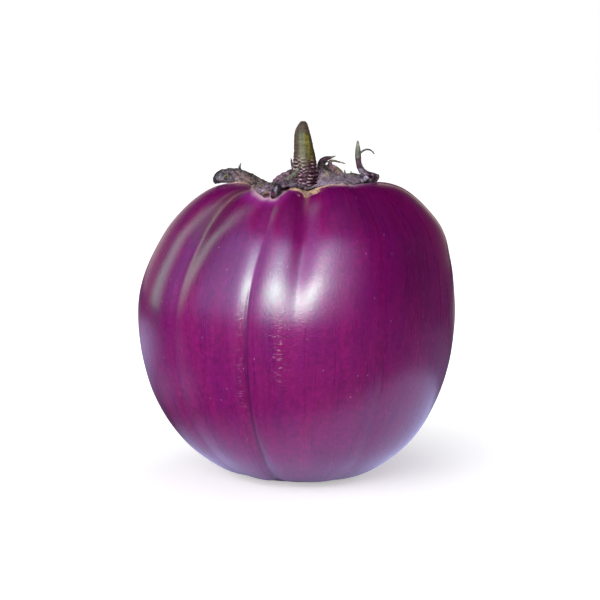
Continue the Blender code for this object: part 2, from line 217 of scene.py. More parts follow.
# azimuth, depth at the shoulder, the waist and the foot, width of one side, how sharp the bottom
# is (1 is a crease and 2 a round gutter), and the height where the shoulder's depth begins
FURROWS = (
    (-153, 3.4, 0.8, 1.0, 6.0, 1.6, 58),
    (-98, 1.4, 0.4, 0.6, 6.0, 1.8, 58),
    (-47, 2.6, 1.0, 0.8, 7.0, 1.5, 58),
    (-17, 1.0, 0.8, 1.1, 2.6, 1.5, 58),
    (-0.6, 3.2, 0.45, 0.4, 5.0, 1.6, 63),
    (31, 0.3, 0.15, 0.25, 3.4, 1.6, 58),
    (87, 3.0, 1.4, 0.8, 5.0, 1.3, 58),
    (128, 2.0, 0.7, 0.8, 5.0, 1.6, 58),
    (172, 2.0, 0.6, 1.0, 5.0, 1.6, 58),
)
SHOULDER_TOP = 106
FOOT = (6, 46)
RESTING_RADIUS = 13
FADE = 12

# %% [markdown]
# A highlight shows where a curve is pieced together, even when the pieces meet smoothly. So the
# outline is read finely, blurred along its length, and cut into steps of equal length. Then each
# point is pushed inwards where a furrow runs, square to the outline.

# %% The fine outline, evenly spaced and without kinks
SKIN_RINGS = 232
OUTLINE_BLUR = 2.2


def even_outline(rings):
    """Radius, height, inward direction and length of each ring, evenly spaced on the outline."""
    rows = [(i, *row) for i, row in enumerate(SKIN_OUTLINE)]
    fine = curve_through(rows, np.linspace(0, len(rows) - 1, 4000))
    fine[:, 1] = np.maximum(fine[:, 1], 0)
    length = np.concatenate(([0], np.cumsum(np.hypot(*np.diff(fine, axis=0).T))))
    even = np.linspace(0, length[-1], 2400)
    line = np.stack([np.interp(even, length, fine[:, k]) for k in (0, 1)], axis=1)
    step = even[1]
    reach = int(3 * OUTLINE_BLUR / step)
    weights = bell(np.arange(-reach, reach + 1) * step, 0, OUTLINE_BLUR)
    weights /= weights.sum()
    # both ends are continued past the axis, so that the poles stay smooth too
    whole = np.concatenate((line[reach:0:-1] * (-1, 1), line, line[-2:-reach - 2:-1] * (-1, 1)))
    smooth = np.stack([np.convolve(whole[:, k], weights, "valid") for k in (0, 1)], axis=1)
    at = np.linspace(0, len(smooth) - 1, rings + 1)
    found = np.stack([np.interp(at, np.arange(len(smooth)), smooth[:, k]) for k in (0, 1)], axis=1)
    found[0, 0] = found[-1, 0] = 0
    along = np.gradient(found, axis=0)
    along /= np.linalg.norm(along, axis=1)[:, None]
    lengths = even[-1] * np.linspace(0, 1, rings + 1)
    return found[:, 0], found[:, 1], -along[:, 1], along[:, 0], lengths


outline = even_outline(SKIN_RINGS)
print("outline length", round(outline[4][-1], 1), "mm, highest", round(outline[1].max(), 1), "mm")


# %% Where each point of the skin lies
def furrow_depth(azimuth, radius, height):
    foot = 1 - ease(*FOOT, height)
    depth = np.zeros_like(azimuth)
    for middle, top, waist, low, width, sharp, start in FURROWS:
        shoulder = ease(start, SHOULDER_TOP, height)
        across = np.radians(np.abs(turn_from(azimuth, middle))) * radius / width
        depth += (waist + (top - waist) * shoulder + (low - waist) * foot) * np.exp(-(across**sharp))
    level_foot = np.where(height < FADE, RESTING_RADIUS, 0)
    return depth * ease(level_foot, level_foot + FADE, radius)


def skin_points(azimuth, ring):
    """The skin in millimetres at each azimuth and ring, before the fine relief."""
    radius, height, inward, rise, _ = (column[ring] for column in outline)
    depth = furrow_depth(azimuth, radius, height)
    radius, height = radius + inward * depth, np.maximum(height + rise * depth, 0)
    angle = np.radians(azimuth)
    x, y = np.sin(angle) * radius, -np.cos(angle) * radius
    height = height - REAR_DROP * ease(70, 115, height) * ease(-30, 45, y)
    return np.stack((x + curve_through(SKIN_LEAN, height)[..., 0], y, height), axis=-1)


# %% [markdown]
# The meridians of a sphere are evenly spaced, and too far apart for a crease that is only a few
# millimetres wide. They are drawn together where the four sharpest ones run, which costs no extra
# faces. The rings need nothing of the kind, since the outline is smooth.

# %% The sphere, with its meridians closer together at the creases
SKIN_SEGMENTS = 344
CREASES = (-17, -0.6, 31, 87)


def meridians(count):
    fine = np.linspace(-180, 180, 7201)
    density = 1 + sum(1.7 * bell(turn_from(fine, crease), 0, 4.5) for crease in CREASES)
    share = np.concatenate(([0], np.cumsum(density[1:] + density[:-1])))
    return np.interp(np.arange(count) / count, share / share[-1], fine)


bpy.ops.mesh.primitive_uv_sphere_add(segments=SKIN_SEGMENTS, ring_count=SKIN_RINGS, radius=1.0)
skin = only(bpy.context.object)
skin.name = skin.data.name = "skin"
ball = points_of(skin)
ring = np.rint(np.arccos(np.clip(-ball[:, 2], -1, 1)) / math.pi * SKIN_RINGS).astype(int)
column = np.rint(np.arctan2(ball[:, 1], ball[:, 0]) / math.tau * SKIN_SEGMENTS).astype(int)
skin_azimuth = meridians(SKIN_SEGMENTS)[column % SKIN_SEGMENTS]
skin_mm = skin_points(skin_azimuth, ring)
print("skin:", len(skin_mm), "points")

# %% [markdown]
# Real skin isn't perfectly even: it has shallow dents a finger wide, a faint relief that follows
# the meridians, and a few thin lines scored along the furrows. The dents are a tenth of a
# millimetre and the lines at most a quarter of one, too little to see as shape, but the
# highlights bend over them, and that is what tells skin from plastic. A bump in the material
# would bend them too, but it is only right close up, so the relief is in the mesh.

# %% Low relief of the skin
# azimuth, lowest and highest point, and depth
FINE_CREASES = ((-17, 8, 82, 0.26), (5, 38, 66, 0.04), (31, 34, 62, 0.08), (78, 30, 112, 0.22))
DEEPEST_CREASE = 0.26
# how many millimetres count as one unit of the place along the skin, which the streaks follow
ALONG_UNIT = 260


def across_skin(middle):
    """How many millimetres each point of the skin is from a meridian."""
    return np.radians(turn_from(skin_azimuth, middle)) * np.hypot(skin_mm[:, 0], skin_mm[:, 1])


move_points(skin, skin_mm * MM)
out = normals_of(skin)
turn = np.radians(skin_azimuth)
along_skin = np.stack((np.sin(turn), -np.cos(turn), outline[4][ring] / ALONG_UNIT), axis=1)
body = ease(3, 14, skin_mm[:, 2])
crease = np.zeros(len(skin_mm))
for middle, low, high, depth in FINE_CREASES:
    reach = ease(low, low + 8, skin_mm[:, 2]) * (1 - ease(high - 8, high, skin_mm[:, 2]))
    crease = np.maximum(crease, bell(across_skin(middle), 0, 0.5) * reach * depth)
dents = 0.10 * ripple(skin_mm, 40, 11, octaves=2) + 0.012 * ripple(skin_mm, 10, 12, octaves=1)
ribs = 0.010 * ripple(along_skin * 60, 9, 13, octaves=1)
skin_mm = skin_mm + out * ((dents + ribs - crease) * body)[:, None]
skin_mm[:, 2] = np.maximum(skin_mm[:, 2], 0)
move_points(skin, skin_mm * MM)
bpy.ops.object.shade_smooth()

fruit_tree = tree_of(frame["nodes"]["fruit"])
gaps = [fruit_tree.find_nearest(Vector(p * MM))[3] / MM for p in skin_mm[::97]]
print("skin is within", round(max(gaps), 2), "mm of the solid, mean", round(sum(gaps) / len(gaps), 3))

# %% [markdown]
# ## The calyx
# The cap of sepals has no simple shape: a curled tongue, a lobe with a rolled edge, a folded tip
# with a tail. The solid has all of them already, so the fine calyx starts as a copy of it. What
# the solid can't carry, a hem or a thin spine, is a tube along a curve. A voxel remesh then melts
# copy and hem into one skin of small even faces, which a join alone would leave as two.

# %% A merged copy, tubes and joins
def merged_copy(node_name, new_name):
    """A copy of a solid whose loose triangles are joined into one closed mesh."""
    made = frame["nodes"][node_name].copy()
    made.data = made.data.copy()
    made.parent = None
    made.name = made.data.name = new_name
    for key in list(made.keys()):
        del made[key]
    bpy.context.scene.collection.objects.link(made)
    only(made)
    bpy.ops.object.mode_set(mode="EDIT")
    bpy.ops.mesh.select_all(action="SELECT")
    bpy.ops.mesh.remove_doubles(threshold=1e-6)
    bpy.ops.object.mode_set(mode="OBJECT")
    return made


# a direction that no tube runs along, so that it can give each ring its sides
ASIDE = (0.05, 1.0, 0.02)


def tube(path, radii, sides=12, rings=26):
    """A closed tube along a smooth curve: a sphere whose rings are moved onto the curve."""
    bpy.ops.mesh.primitive_uv_sphere_add(segments=sides, ring_count=rings, radius=1.0)
    made = only(bpy.context.object)
    ball = points_of(made)
    ring = np.rint(np.arccos(np.clip(-ball[:, 2], -1, 1)) / math.pi * rings).astype(int)
    rows = [(i, *row) for i, row in enumerate(path)]
    line = curve_through(rows, np.linspace(0, len(rows) - 1, rings + 1))
    aim = np.gradient(line, axis=0)
    aim /= np.linalg.norm(aim, axis=1)[:, None]
    side = np.cross(aim, ASIDE)
    side /= np.linalg.norm(side, axis=1)[:, None]
    up = np.cross(aim, side)
    radius = np.interp(np.linspace(0, 1, rings + 1), np.linspace(0, 1, len(radii)), radii)
    radius[[0, -1]] = 0
    turn = np.arctan2(ball[:, 1], ball[:, 0])
    across = np.cos(turn)[:, None] * side[ring] + np.sin(turn)[:, None] * up[ring]
    move_points(made, (line[ring] + across * radius[ring][:, None]) * MM)
    return made


def join(target, others):
    only(target)
    for other in others:
        other.select_set(True)
    bpy.ops.object.join()
    return target


# %% Fine calyx
# the edge of the front lobe is rolled over, like a thick hem above a hollow
ROLLED_EDGE = (
    (-8.4, -35.6, 109.6), (-8.3, -34.8, 111.4), (-6.6, -33.4, 112.9), (-4.0, -32.2, 113.3),
    (-1.6, -30.6, 112.9), (-0.2, -29.0, 112.2),
)
ROLLED_RADII = (0.9, 1.15, 1.0, 0.8, 0.7, 0.5)
CALYX_VOXEL = 0.00032
calyx = merged_copy("calyx", "calyx_felt")
join(calyx, [tube(ROLLED_EDGE, ROLLED_RADII)])
calyx.data.remesh_voxel_size = CALYX_VOXEL
calyx.data.use_remesh_fix_poles = False
bpy.ops.object.voxel_remesh()
smooth = calyx.modifiers.new("soften", "SMOOTH")
smooth.factor = 0.5
smooth.iterations = 3
bpy.ops.object.modifier_apply(modifier=smooth.name)
calyx.data.materials.clear()
print("calyx:", len(calyx.data.vertices), "points")

# %% [markdown]
# The felt lies in soft lumps of a millimetre and of three. Under the rolled edge the surface
# goes back into a hollow, and above the notch of the fruit it is lifted, so the cork shows.

# %% Calyx relief
calyx_mm = points_of(calyx) / MM
out = normals_of(calyx)
lift = 0.15 * ripple(calyx_mm, 3.2, 21) + 0.11 * ripple(calyx_mm, 1.1, 22)
calyx_mm = calyx_mm + out * lift[:, None]
x, y, z = calyx_mm.T
hollow = bell(x, -3.3, 2.7) ** 2 * bell(z, 111.3, 0.9) * (y < -26)
notch = bell(x, 3.0, 3.6) * bell(z, 109.6, 2.2) * (y < -15)
move_points(calyx, (calyx_mm + np.column_stack((0 * x, 2.4 * hollow, 0.9 * notch))) * MM)
print("lumps up to", round(np.abs(lift).max(), 2), "mm, hollow on", int((hollow > 0.3).sum()), "points")

# %% [markdown]
# Spines are too thin for the voxels, so they join the calyx after the remesh, with their feet
# inside it. The last correction is made against the photograph: a soft pull moves what is
# near its centre and fades out with distance, as proportional editing does by hand.

# %% Spines and tendril
# the path of each in mm, then its radius along the path
SPINES = {
    "left prickle": (
        ((-21.5, -3.5, 115), (-22.2, -3.5, 117.6), (-21.6, -3.5, 119.6)),
        (0.8, 0.5, 0.1),
    ),
    "front prickle": (
        ((-5.6, -26.2, 111.6), (-2.8, -23, 115.2), (-0.2, -19, 119)),
        (1.6, 1.25, 0.3),
    ),
    "middle prickle": (
        ((-1.4, 3.8, 114.6), (-2.6, 4.3, 118.4), (-3.1, 4.5, 121.2)),
        (0.75, 0.5, 0.1),
    ),
    "tendril": (
        ((21.4, -6.3, 121), (22.6, -6.3, 123), (24.4, -6.3, 124.3), (25.8, -6.3, 124.5),
         (27, -6.3, 124), (28.3, -6.3, 122.6)),
        (0.5, 0.45, 0.38, 0.34, 0.3, 0.1),
    ),
    "lower hook": (
        ((12, 9.2, 115.6), (11.8, 9.2, 120), (13.2, 9, 120.5), (15.1, 9, 119.7), (17.8, 9, 118.5)),
        (0.9, 0.75, 0.6, 0.45, 0.1),
    ),
    "upper hook": (
        ((8.8, 8.9, 114), (8.6, 8.6, 119), (10.2, 8.6, 121.4), (14.2, 9, 122.5)),
        (1.9, 1.5, 1.1, 0.1),
    ),
    "prickle on the fold": (
        ((17, -2, 114), (17.2, -2, 115.8), (17, -2, 117)),
        (0.7, 0.4, 0.1),
    ),
    "tail": (
        ((22.4, -6.5, 117), (22, -6.2, 122), (21.9, -6.1, 125.5), (21.6, -6, 128)),
        (0.8, 1.2, 0.85, 0.1),
    ),
    "rear left prickle": (
        ((-18, 13, 112.6), (-19.4, 14.2, 113.3), (-21.2, 15.4, 113.5)),
        (0.6, 0.45, 0.1),
    ),
    "rear prickle": (
        ((0.8, 18, 111.4), (0.4, 19.6, 112.4), (0.1, 21.4, 112.8)),
        (0.6, 0.45, 0.1),
    ),
    "right prickle": (
        ((15.8, -13, 112), (16.5, -13.7, 114.5), (16.9, -14.1, 116.2)),
        (0.65, 0.45, 0.1),
    ),
}
spines = [tube(path, radii) for path, radii in SPINES.values()]
join(calyx, spines)
bpy.ops.object.shade_smooth()

# %% Soft pulls
# where a pull is centred, how far it reaches along each axis, and the move, all in mm
PULLS = (
    ((-11.0, -35.0, 110.5), (5.5, 8.0, 5.0), (-0.6, -2.7, -1.8)),
    ((-3.0, -30.0, 111.0), (4.0, 5.0, 3.0), (0.0, -0.9, -0.7)),
    ((-26.0, -6.0, 113.8), (6.0, 7.0, 1.7), (0.0, 0.0, -1.3)),
    ((11.5, 9.0, 122.0), (5.5, 3.5, 3.2), (0.0, 0.0, -1.1)),
    ((15.5, 8.5, 115.5), (3.0, 4.5, 3.0), (1.4, 0.0, 0.0)),
    ((-1.5, -21.0, 117.0), (3.0, 3.2, 4.0), (-0.3, 0.0, -1.3)),
    ((28.5, -7.0, 117.0), (3.0, 4.0, 2.2), (0.0, 0.0, -0.7)),
    ((-8.0, -7.0, 113.8), (3.2, 6.0, 2.6), (-1.9, 0.0, 0.3)),
)
calyx_mm = points_of(calyx) / MM
moved = calyx_mm.copy()
for centre, reach, move in PULLS:
    away_from = (((calyx_mm - centre) / reach) ** 2).sum(axis=1)
    moved += np.exp(-away_from)[:, None] * move
move_points(calyx, moved * MM)
triangles = sum(len(face.vertices) - 2 for face in calyx.data.polygons)
print("calyx with", len(spines), "spines:", triangles, "triangles")

# %% [markdown]
# ## What the skin's colour follows
# The colour isn't even either. Next to the calyx the skin grew in the shade, so it has a thin
# pale rim with brighter violet around it, and in the notch in front it has turned to swollen tan
# cork. These places are measured on the mesh, as distances from the finished calyx, and stored
# on its points, where the material reads them.

# %% Rim, bloom and cork around the calyx
# azimuth about the calyx's middle, and how far the cork reaches from the calyx's edge, in mm
CORK_REACH = (
    (-75, 0.1), (-66, 1.2), (-50, 1.8), (-40, 0.3), (-16, 0.1), (-11, 1.6), (-6, 4.6), (-1, 7.4),
    (4, 7.0), (9, 4.4), (13, 2.0), (18, 0.9), (26, 0.5), (36, 0.3), (44, 0.1),
)
# azimuth about the calyx and its width, distance from the calyx and its width, and strength
BLOOMS = ((56, 20, 1.6, 1.8, 1.0), (-36, 12, 2.0, 3.0, 0.8), (-16, 9, 1.5, 1.8, 0.5))
# how far the calyx's middle is to the right of the axis, and below which height it never comes
CALYX_MIDDLE = 3.3
CALYX_LOWEST = 98
FAR_AWAY = 40.0
CORK_SWELLING = 0.8

calyx_tree = tree_of(calyx)
from_calyx = np.full(len(skin_mm), FAR_AWAY)
for i in np.nonzero(skin_mm[:, 2] > CALYX_LOWEST)[0]:
    from_calyx[i] = calyx_tree.find_nearest(Vector(skin_mm[i] * MM))[3] / MM
about_calyx = np.degrees(np.arctan2(skin_mm[:, 0] - CALYX_MIDDLE, -skin_mm[:, 1]))
rim_width = 0.9 + 0.7 * bell(about_calyx, 48, 22)
rim_width += 0.4 * bell(about_calyx, -30, 8) - 0.3 * bell(about_calyx, -14, 6)
rim = bell(np.maximum(from_calyx - 0.3, 0) / rim_width, 0, 1)
bloom = np.zeros(len(skin_mm))
for middle, wide, far, deep, strength in BLOOMS:
    bloom += strength * bell(about_calyx, middle, wide) * bell(from_calyx, far, deep)
reach = curve_through(CORK_REACH, about_calyx)[..., 0] * (1 + 0.25 * ripple(skin_mm, 1.6, 14))
cork = (1 - ease(0.55, 1.0, from_calyx / np.maximum(reach, 0.1))) * ease(0.15, 0.6, reach)
swelling = CORK_SWELLING * cork * (1 - ease(2.0, 5.0, from_calyx))
swelling *= 0.75 + 0.20 * ripple(skin_mm, 3.0, 15, octaves=2)
skin_mm = skin_mm + normals_of(skin) * swelling[:, None]
move_points(skin, skin_mm * MM)
for name, values in (("rim", rim), ("bloom", bloom), ("cork", cork)):
    paint(skin, name, np.clip(values, 0, 1))
print("pale rim on", int((rim > 0.3).sum()), "points, cork on", int((cork > 0.3).sum()))

# %% [markdown]
# Further down, the colour follows the lobes: thin pale seams near the calyx, darker ripe fields,
# a hint of olive on the left shoulder, and rows of pale scuffs beside the front furrow. The ripe
# mask also carries painted shade: a dark band on the rear lobe just behind the right furrow's
# edge. All of them are told by where they are around the fruit and how high.

# %% Seams, ripe fields with painted shade, olive and scuffs
# azimuth, strength, width in mm, and the heights where it starts and ends
SEAM_LINES = ((-48, 0.55, 0.5, 96, 112), (-53, 0.3, 0.4, 93, 108), (-1, 0.5, 1.0, 100, 109))
# azimuth and its width, height and its width, and strength
RIPE_FIELDS = (
    (43, 14, 85, 22, 0.7), (22, 16, 104, 8, 0.5), (-58, 7, 66, 16, 0.5), (-38, 14, 92, 14, 0.6),
    (-10, 8, 105, 5, 0.4),
)


def around(middle, wide):
    """1 at one azimuth of the skin, fading over a number of degrees."""
    return bell(turn_from(skin_azimuth, middle), 0, wide)


def between(low, rising, high, falling):
    """1 between two heights of the skin, with soft ends of the lengths given."""
    height = skin_mm[:, 2]
    return ease(low, low + rising, height) * (1 - ease(high, high + falling, height))


seam = np.zeros(len(skin_mm))
for middle, strength, width, low, high in SEAM_LINES:
    seam += strength * bell(across_skin(middle), 0, width) * between(low, 14, high, 4)
# painted shade: a dark band on the rear lobe behind the right furrow, at azimuth 90; ripe fields follow
ripe_and_shade = 0.9 * around(90, 5) * ease(40, 70, skin_mm[:, 2])
for middle, wide, level, tall, strength in RIPE_FIELDS:
    ripe_and_shade += strength * around(middle, wide) * bell(skin_mm[:, 2], level, tall)
olive = 0.8 * around(-49, 6) * ease(88, 100, skin_mm[:, 2])
olive += 0.4 * around(-86, 5) * ease(60, 90, skin_mm[:, 2])
scuffed = around(-6, 2.6) * between(40, 10, 60, 14) + 0.5 * around(-19.5, 1.6) * between(18, 16, 66, 10)
crease = crease / DEEPEST_CREASE
for name, values in (
    ("seam", seam), ("ripe_and_shade", ripe_and_shade), ("olive", olive), ("scuffed", scuffed), ("crease", crease),
):
    paint(skin, name, np.clip(values, 0, 1))
paint(skin, "along", along_skin)
print("ripe on", int((ripe_and_shade > 0.3).sum()), "points, seams on", int((seam > 0.2).sum()))

# %% [markdown]
# ## Building a material in code
# A material is a graph of nodes. In code every node takes several lines, to add it, to set it and
# to plug it in, so small helpers do all that in one call and return the output socket. The graph
# then reads like a recipe: a colour, mixed with another one by a mask, again and again.

# %% Node helpers
def new_material(name):
    made = bpy.data.materials.new(name)
    made.use_nodes = True
    return made, made.node_tree


def node(tree, kind, **settings):
    """Adds a node, sets its properties and plugs in or sets its inputs."""
    made = tree.nodes.new(kind)
    inputs = settings.pop("inputs", {})
    for key, value in settings.items():
        setattr(made, key, value)
    for key, value in inputs.items():
        if isinstance(value, bpy.types.NodeSocket):
            tree.links.new(value, made.inputs[key])
        else:
            made.inputs[key].default_value = value
    return made


def mix_colour(tree, share, first, second, blend="MIX"):
    """Mixes two colours, each a socket or red, green and blue."""
    inputs = {0: share}
    for key, value in ((6, first), (7, second)):
        inputs[key] = value if isinstance(value, bpy.types.NodeSocket) else (*value, 1)
    made = node(tree, "ShaderNodeMix", data_type="RGBA", blend_type=blend, inputs=inputs)
    return made.outputs[2]


def math_node(tree, operation, first, second=0.0):
    return node(tree, "ShaderNodeMath", operation=operation, inputs={0: first, 1: second}).outputs[0]


def times(tree, first, second):
    return math_node(tree, "MULTIPLY", first, second)


def plus(tree, first, second):
    return math_node(tree, "ADD", first, second)


def vector_node(tree, operation, first, second):
    inputs = {0: first, 1: second}
    return node(tree, "ShaderNodeVectorMath", operation=operation, inputs=inputs).outputs[0]


def length_of(tree, vector):
    made = node(tree, "ShaderNodeVectorMath", operation="LENGTH", inputs={0: vector})
    return made.outputs["Value"]


def spread(tree, value, low, high, to_low=0.0, to_high=1.0):
    """Maps a value from one range onto another, held at its ends."""
    inputs = {0: value, 1: low, 2: high, 3: to_low, 4: to_high}
    return node(tree, "ShaderNodeMapRange", inputs=inputs).outputs[0]


def painted(tree, name, output="Fac"):
    """What was painted on the points of a mesh under a name."""
    return node(tree, "ShaderNodeAttribute", attribute_name=name).outputs[output]


def noise(tree, vector, scale, detail=3.0, roughness=0.5):
    inputs = {"Vector": vector, "Scale": scale, "Detail": detail, "Roughness": roughness}
    return node(tree, "ShaderNodeTexNoise", inputs=inputs).outputs["Fac"]


def object_place(tree):
    return node(tree, "ShaderNodeTexCoord").outputs["Object"]


def add_bump(tree, shader, height, strength, distance):
    inputs = {"Strength": strength, "Distance": distance, "Height": height}
    tree.links.new(node(tree, "ShaderNodeBump", inputs=inputs).outputs[0], shader.inputs["Normal"])


# %% [markdown]
# The felt of the calyx, the bark of the stem and the pores of the skin are all the same effect at
# different sizes: fine grain, with some pale flecks and some dark pits. It is made once, as a
# node group with a few inputs, and each material places it with its own values.

# %% Fine grain, a group for all three materials
grain_group = bpy.data.node_groups.new("fine grain", "ShaderNodeTree")
grain_group.interface.new_socket("Place", in_out="INPUT", socket_type="NodeSocketVector")
for name, value in (("Scale", 1000.0), ("Threshold", 0.55)):
    socket = grain_group.interface.new_socket(name, in_out="INPUT", socket_type="NodeSocketFloat")
    socket.default_value = value
for name in ("Height", "Flecks", "Pits"):
    grain_group.interface.new_socket(name, in_out="OUTPUT", socket_type="NodeSocketFloat")
given = grain_group.nodes.new("NodeGroupInput").outputs
found = grain_group.nodes.new("NodeGroupOutput").inputs
SOFTNESS = 0.13
grains = noise(grain_group, given["Place"], given["Scale"], 3, 0.65)
upper = plus(grain_group, given["Threshold"], SOFTNESS)
lower = math_node(grain_group, "SUBTRACT", 1.0, given["Threshold"])
lowest = math_node(grain_group, "SUBTRACT", lower, SOFTNESS)
grain_group.links.new(grains, found["Height"])
grain_group.links.new(spread(grain_group, grains, given["Threshold"], upper), found["Flecks"])
grain_group.links.new(spread(grain_group, grains, lower, lowest), found["Pits"])


def fine_grain(tree, place, scale, threshold=0.55):
    inputs = {"Place": place, "Scale": scale, "Threshold": threshold}
    return node(tree, "ShaderNodeGroup", node_tree=grain_group, inputs=inputs).outputs


print("node group:", grain_group.name, [item.name for item in grain_group.interface.items_tree])

# %% [markdown]
# Under the gloss, the violet is layered like real skin: slow patches, long fine streaks down the
# meridians, flames of bluer and redder violet, and a fine mottle. The painted places lie over
# these. The streaks use the place along the skin that was stored on its points, squeezed one way,
# because noise in plain space would make round spots.

# %% Skin material: the violet
skin_look, tree = new_material("glossy violet skin")
shader = tree.nodes["Principled BSDF"]
place = object_place(tree)
along = painted(tree, "along", "Vector")
down = vector_node(tree, "MULTIPLY", along, (1, 1, 0.12))
streaks = noise(tree, down, 26, 4, 0.55)
fine_streaks = noise(tree, down, 90, 3, 0.6)
patches = noise(tree, vector_node(tree, "MULTIPLY", along, (1, 1, 0.5)), 3.2, 2)
flame = noise(tree, vector_node(tree, "MULTIPLY", along, (11, 11, 9)), 1.0, 4, 0.6)
mottle = noise(tree, place, 620, 3, 0.7)
share = spread(tree, patches, 0.35, 0.65)
colour = mix_colour(tree, share, (0.128, 0.0006, 0.078), (0.160, 0.0014, 0.092))
for share, tone in (
    (spread(tree, streaks, 0.36, 0.80, 0, 0.45), (0.190, 0.0040, 0.112)),
    (spread(tree, fine_streaks, 0.55, 0.85, 0, 0.05), (0.30, 0.05, 0.20)),
    (spread(tree, flame, 0.50, 0.74, 0, 0.55), (0.092, 0.0006, 0.090)),
    (spread(tree, flame, 0.48, 0.28, 0, 0.50), (0.205, 0.0008, 0.078)),
):
    colour = mix_colour(tree, share, colour, tone)
colour = mix_colour(tree, 1.0, colour, spread(tree, mottle, 0.28, 0.72, 0.72, 1.28), "MULTIPLY")
# the ripe mask darkens the ripe fields and also lays the painted shade behind the right furrow
for name, strength, tone in (
    ("ripe_and_shade", 0.85, (0.052, 0.0002, 0.040)), ("olive", 0.7, (0.080, 0.032, 0.046)),
    ("bloom", 0.8, (0.30, 0.020, 0.28)), ("rim", 0.75, (0.62, 0.40, 0.50)),
):
    colour = mix_colour(tree, times(tree, painted(tree, name), strength), colour, tone)

# %% [markdown]
# Cork is the scar that skin grows over a strained place: dry, grainy, tan and cracked. Its mask
# is what was painted plus some grain, so its edge crumbles instead of fading. The cracks are the
# borders of a cell pattern, and they are carved by the bump as well as darkened.

# %% Skin material: cork with its cracks
bark = fine_grain(tree, place, 1100, 0.52)
grainy = plus(tree, painted(tree, "cork"), times(tree, bark["Height"], 0.5))
cork_mask = spread(tree, grainy, 0.55, 0.85)
cork_colour = mix_colour(tree, bark["Pits"], (0.60, 0.38, 0.26), (0.32, 0.17, 0.11))
colour = mix_colour(tree, cork_mask, colour, cork_colour)
cells = {"Vector": place, "Scale": 330.0}
net = node(tree, "ShaderNodeTexVoronoi", feature="DISTANCE_TO_EDGE", inputs=cells)
crack_lines = spread(tree, net.outputs["Distance"], 0.02, 0.09, 1, 0)
crack_mask = times(tree, crack_lines, times(tree, cork_mask, 0.5))
colour = mix_colour(tree, crack_mask, colour, (0.10, 0.035, 0.02))

# %% [markdown]
# Small flaws make the skin look real: short pale dashes in a row beside the furrow, single pale
# pores and tan seams. The scored lines along the furrows are darkened with painted shade. All of
# them are thin and rather faint.

# %% Skin material: pale scuffs and specks, seams and creases
dashes = noise(tree, vector_node(tree, "MULTIPLY", along, (26, 26, 520)), 1.0, 2, 0.5)
scuffs = times(tree, spread(tree, dashes, 0.58, 0.70), painted(tree, "scuffed"))
spots = node(tree, "ShaderNodeTexVoronoi", inputs=cells).outputs
# every cell of the pattern has its own colour, and only some of the cells get a speck
drawn = node(tree, "ShaderNodeSeparateColor", inputs={0: spots["Color"]}).outputs[0]
round_spots = spread(tree, spots["Distance"], 0.04, 0.09, 1, 0)
specks = times(tree, round_spots, spread(tree, drawn, 0.62, 0.64))
for share, strength, tone in (
    (scuffs, 0.4, (0.50, 0.27, 0.33)), (specks, 0.4, (0.60, 0.40, 0.52)),
    (painted(tree, "seam"), 0.8, (0.40, 0.24, 0.19)),
    # painted shade: the scored lines along the furrows are darkened by their depth
    (painted(tree, "crease"), 0.6, (0.03, 0.001, 0.03)),
):
    colour = mix_colour(tree, times(tree, share, strength), colour, tone)
tree.links.new(colour, shader.inputs["Base Color"])
print("layers of colour:", sum(made.bl_idname == "ShaderNodeMix" for made in tree.nodes))

# %% [markdown]
# The skin is waxy rather than polished: its highlights are bright but soft at the edges, which
# takes a rougher body under a thin clear coat. The finest bumps are flat ripples across the
# fruit, about as small as a face of the mesh, so here the material makes them.

# %% Skin material: gloss and fine bumps
rough = plus(tree, spread(tree, streaks, 0.3, 0.7, 0.26, 0.31), times(tree, cork_mask, 0.4))
tree.links.new(rough, shader.inputs["Roughness"])
for name, value in (("IOR", 1.5), ("Coat Weight", 0.35), ("Coat Roughness", 0.20)):
    shader.inputs[name].default_value = value
peel = noise(tree, vector_node(tree, "MULTIPLY", along, (52, 52, 430)), 1.0, 3, 0.55)
bumps = plus(tree, peel, times(tree, fine_grain(tree, place, 1300, 0.60)["Height"], 0.5))
bumps = plus(tree, bumps, times(tree, scuffs, 0.6))
bumps = math_node(tree, "SUBTRACT", bumps, times(tree, crack_mask, 2.5))
add_bump(tree, shader, bumps, 0.6, 0.1 * MM)
skin.data.materials.append(skin_look)
print(skin_look.name, "has", len(tree.nodes), "nodes")

# %% [markdown]
# The calyx changes colour from place to place: lilac-grey felt on top, olive and brown near the
# roots, dark wine where it is folded, pale green on the spines. Each change is a soft stroke of
# colour from one point to another, and every point of the mesh takes the strokes near it. Some
# strokes are painted light: highlights on the rolled edge, the left sepal's tip and the tail's
# foot, and painted shade along a fold, on the roll's sides and in the hollow under it. The
# share of felt is painted in the same go, because the folds and the spines are smooth. Rounded
# edges are dark and found by measuring: an edge is where a point stands proud of its neighbours,
# and a point that sinks below them lies in a fold, which gets painted shade.

# %% Soft strokes of colour
def brush(points, base, strokes, seed, depth=1.0):
    """Colour and share of felt of each point, from strokes laid one over another.

    Depth is how much a distance towards the camera counts, because strokes run over folds.
    """
    coat = np.tile(np.array(base, dtype=float), (len(points), 1))
    wobble = 1 + 0.14 * ripple(points, 1.6, seed)
    for start, end, reach, first, last in strokes:
        start, end = np.array(start, dtype=float), np.array(end, dtype=float)
        run = end - start
        along = np.clip((points - start) @ run / (run @ run), 0, 1)[:, None]
        gap = np.linalg.norm((points - start - along * run) * (1, depth, 1), axis=1) * wobble
        cover = (1 - ease(0.5 * reach, reach, gap))[:, None]
        first, last = np.array(first), np.array(last)
        coat += cover * (first + along * (last - first) - coat)
    return coat[:, :3], coat[:, 3]


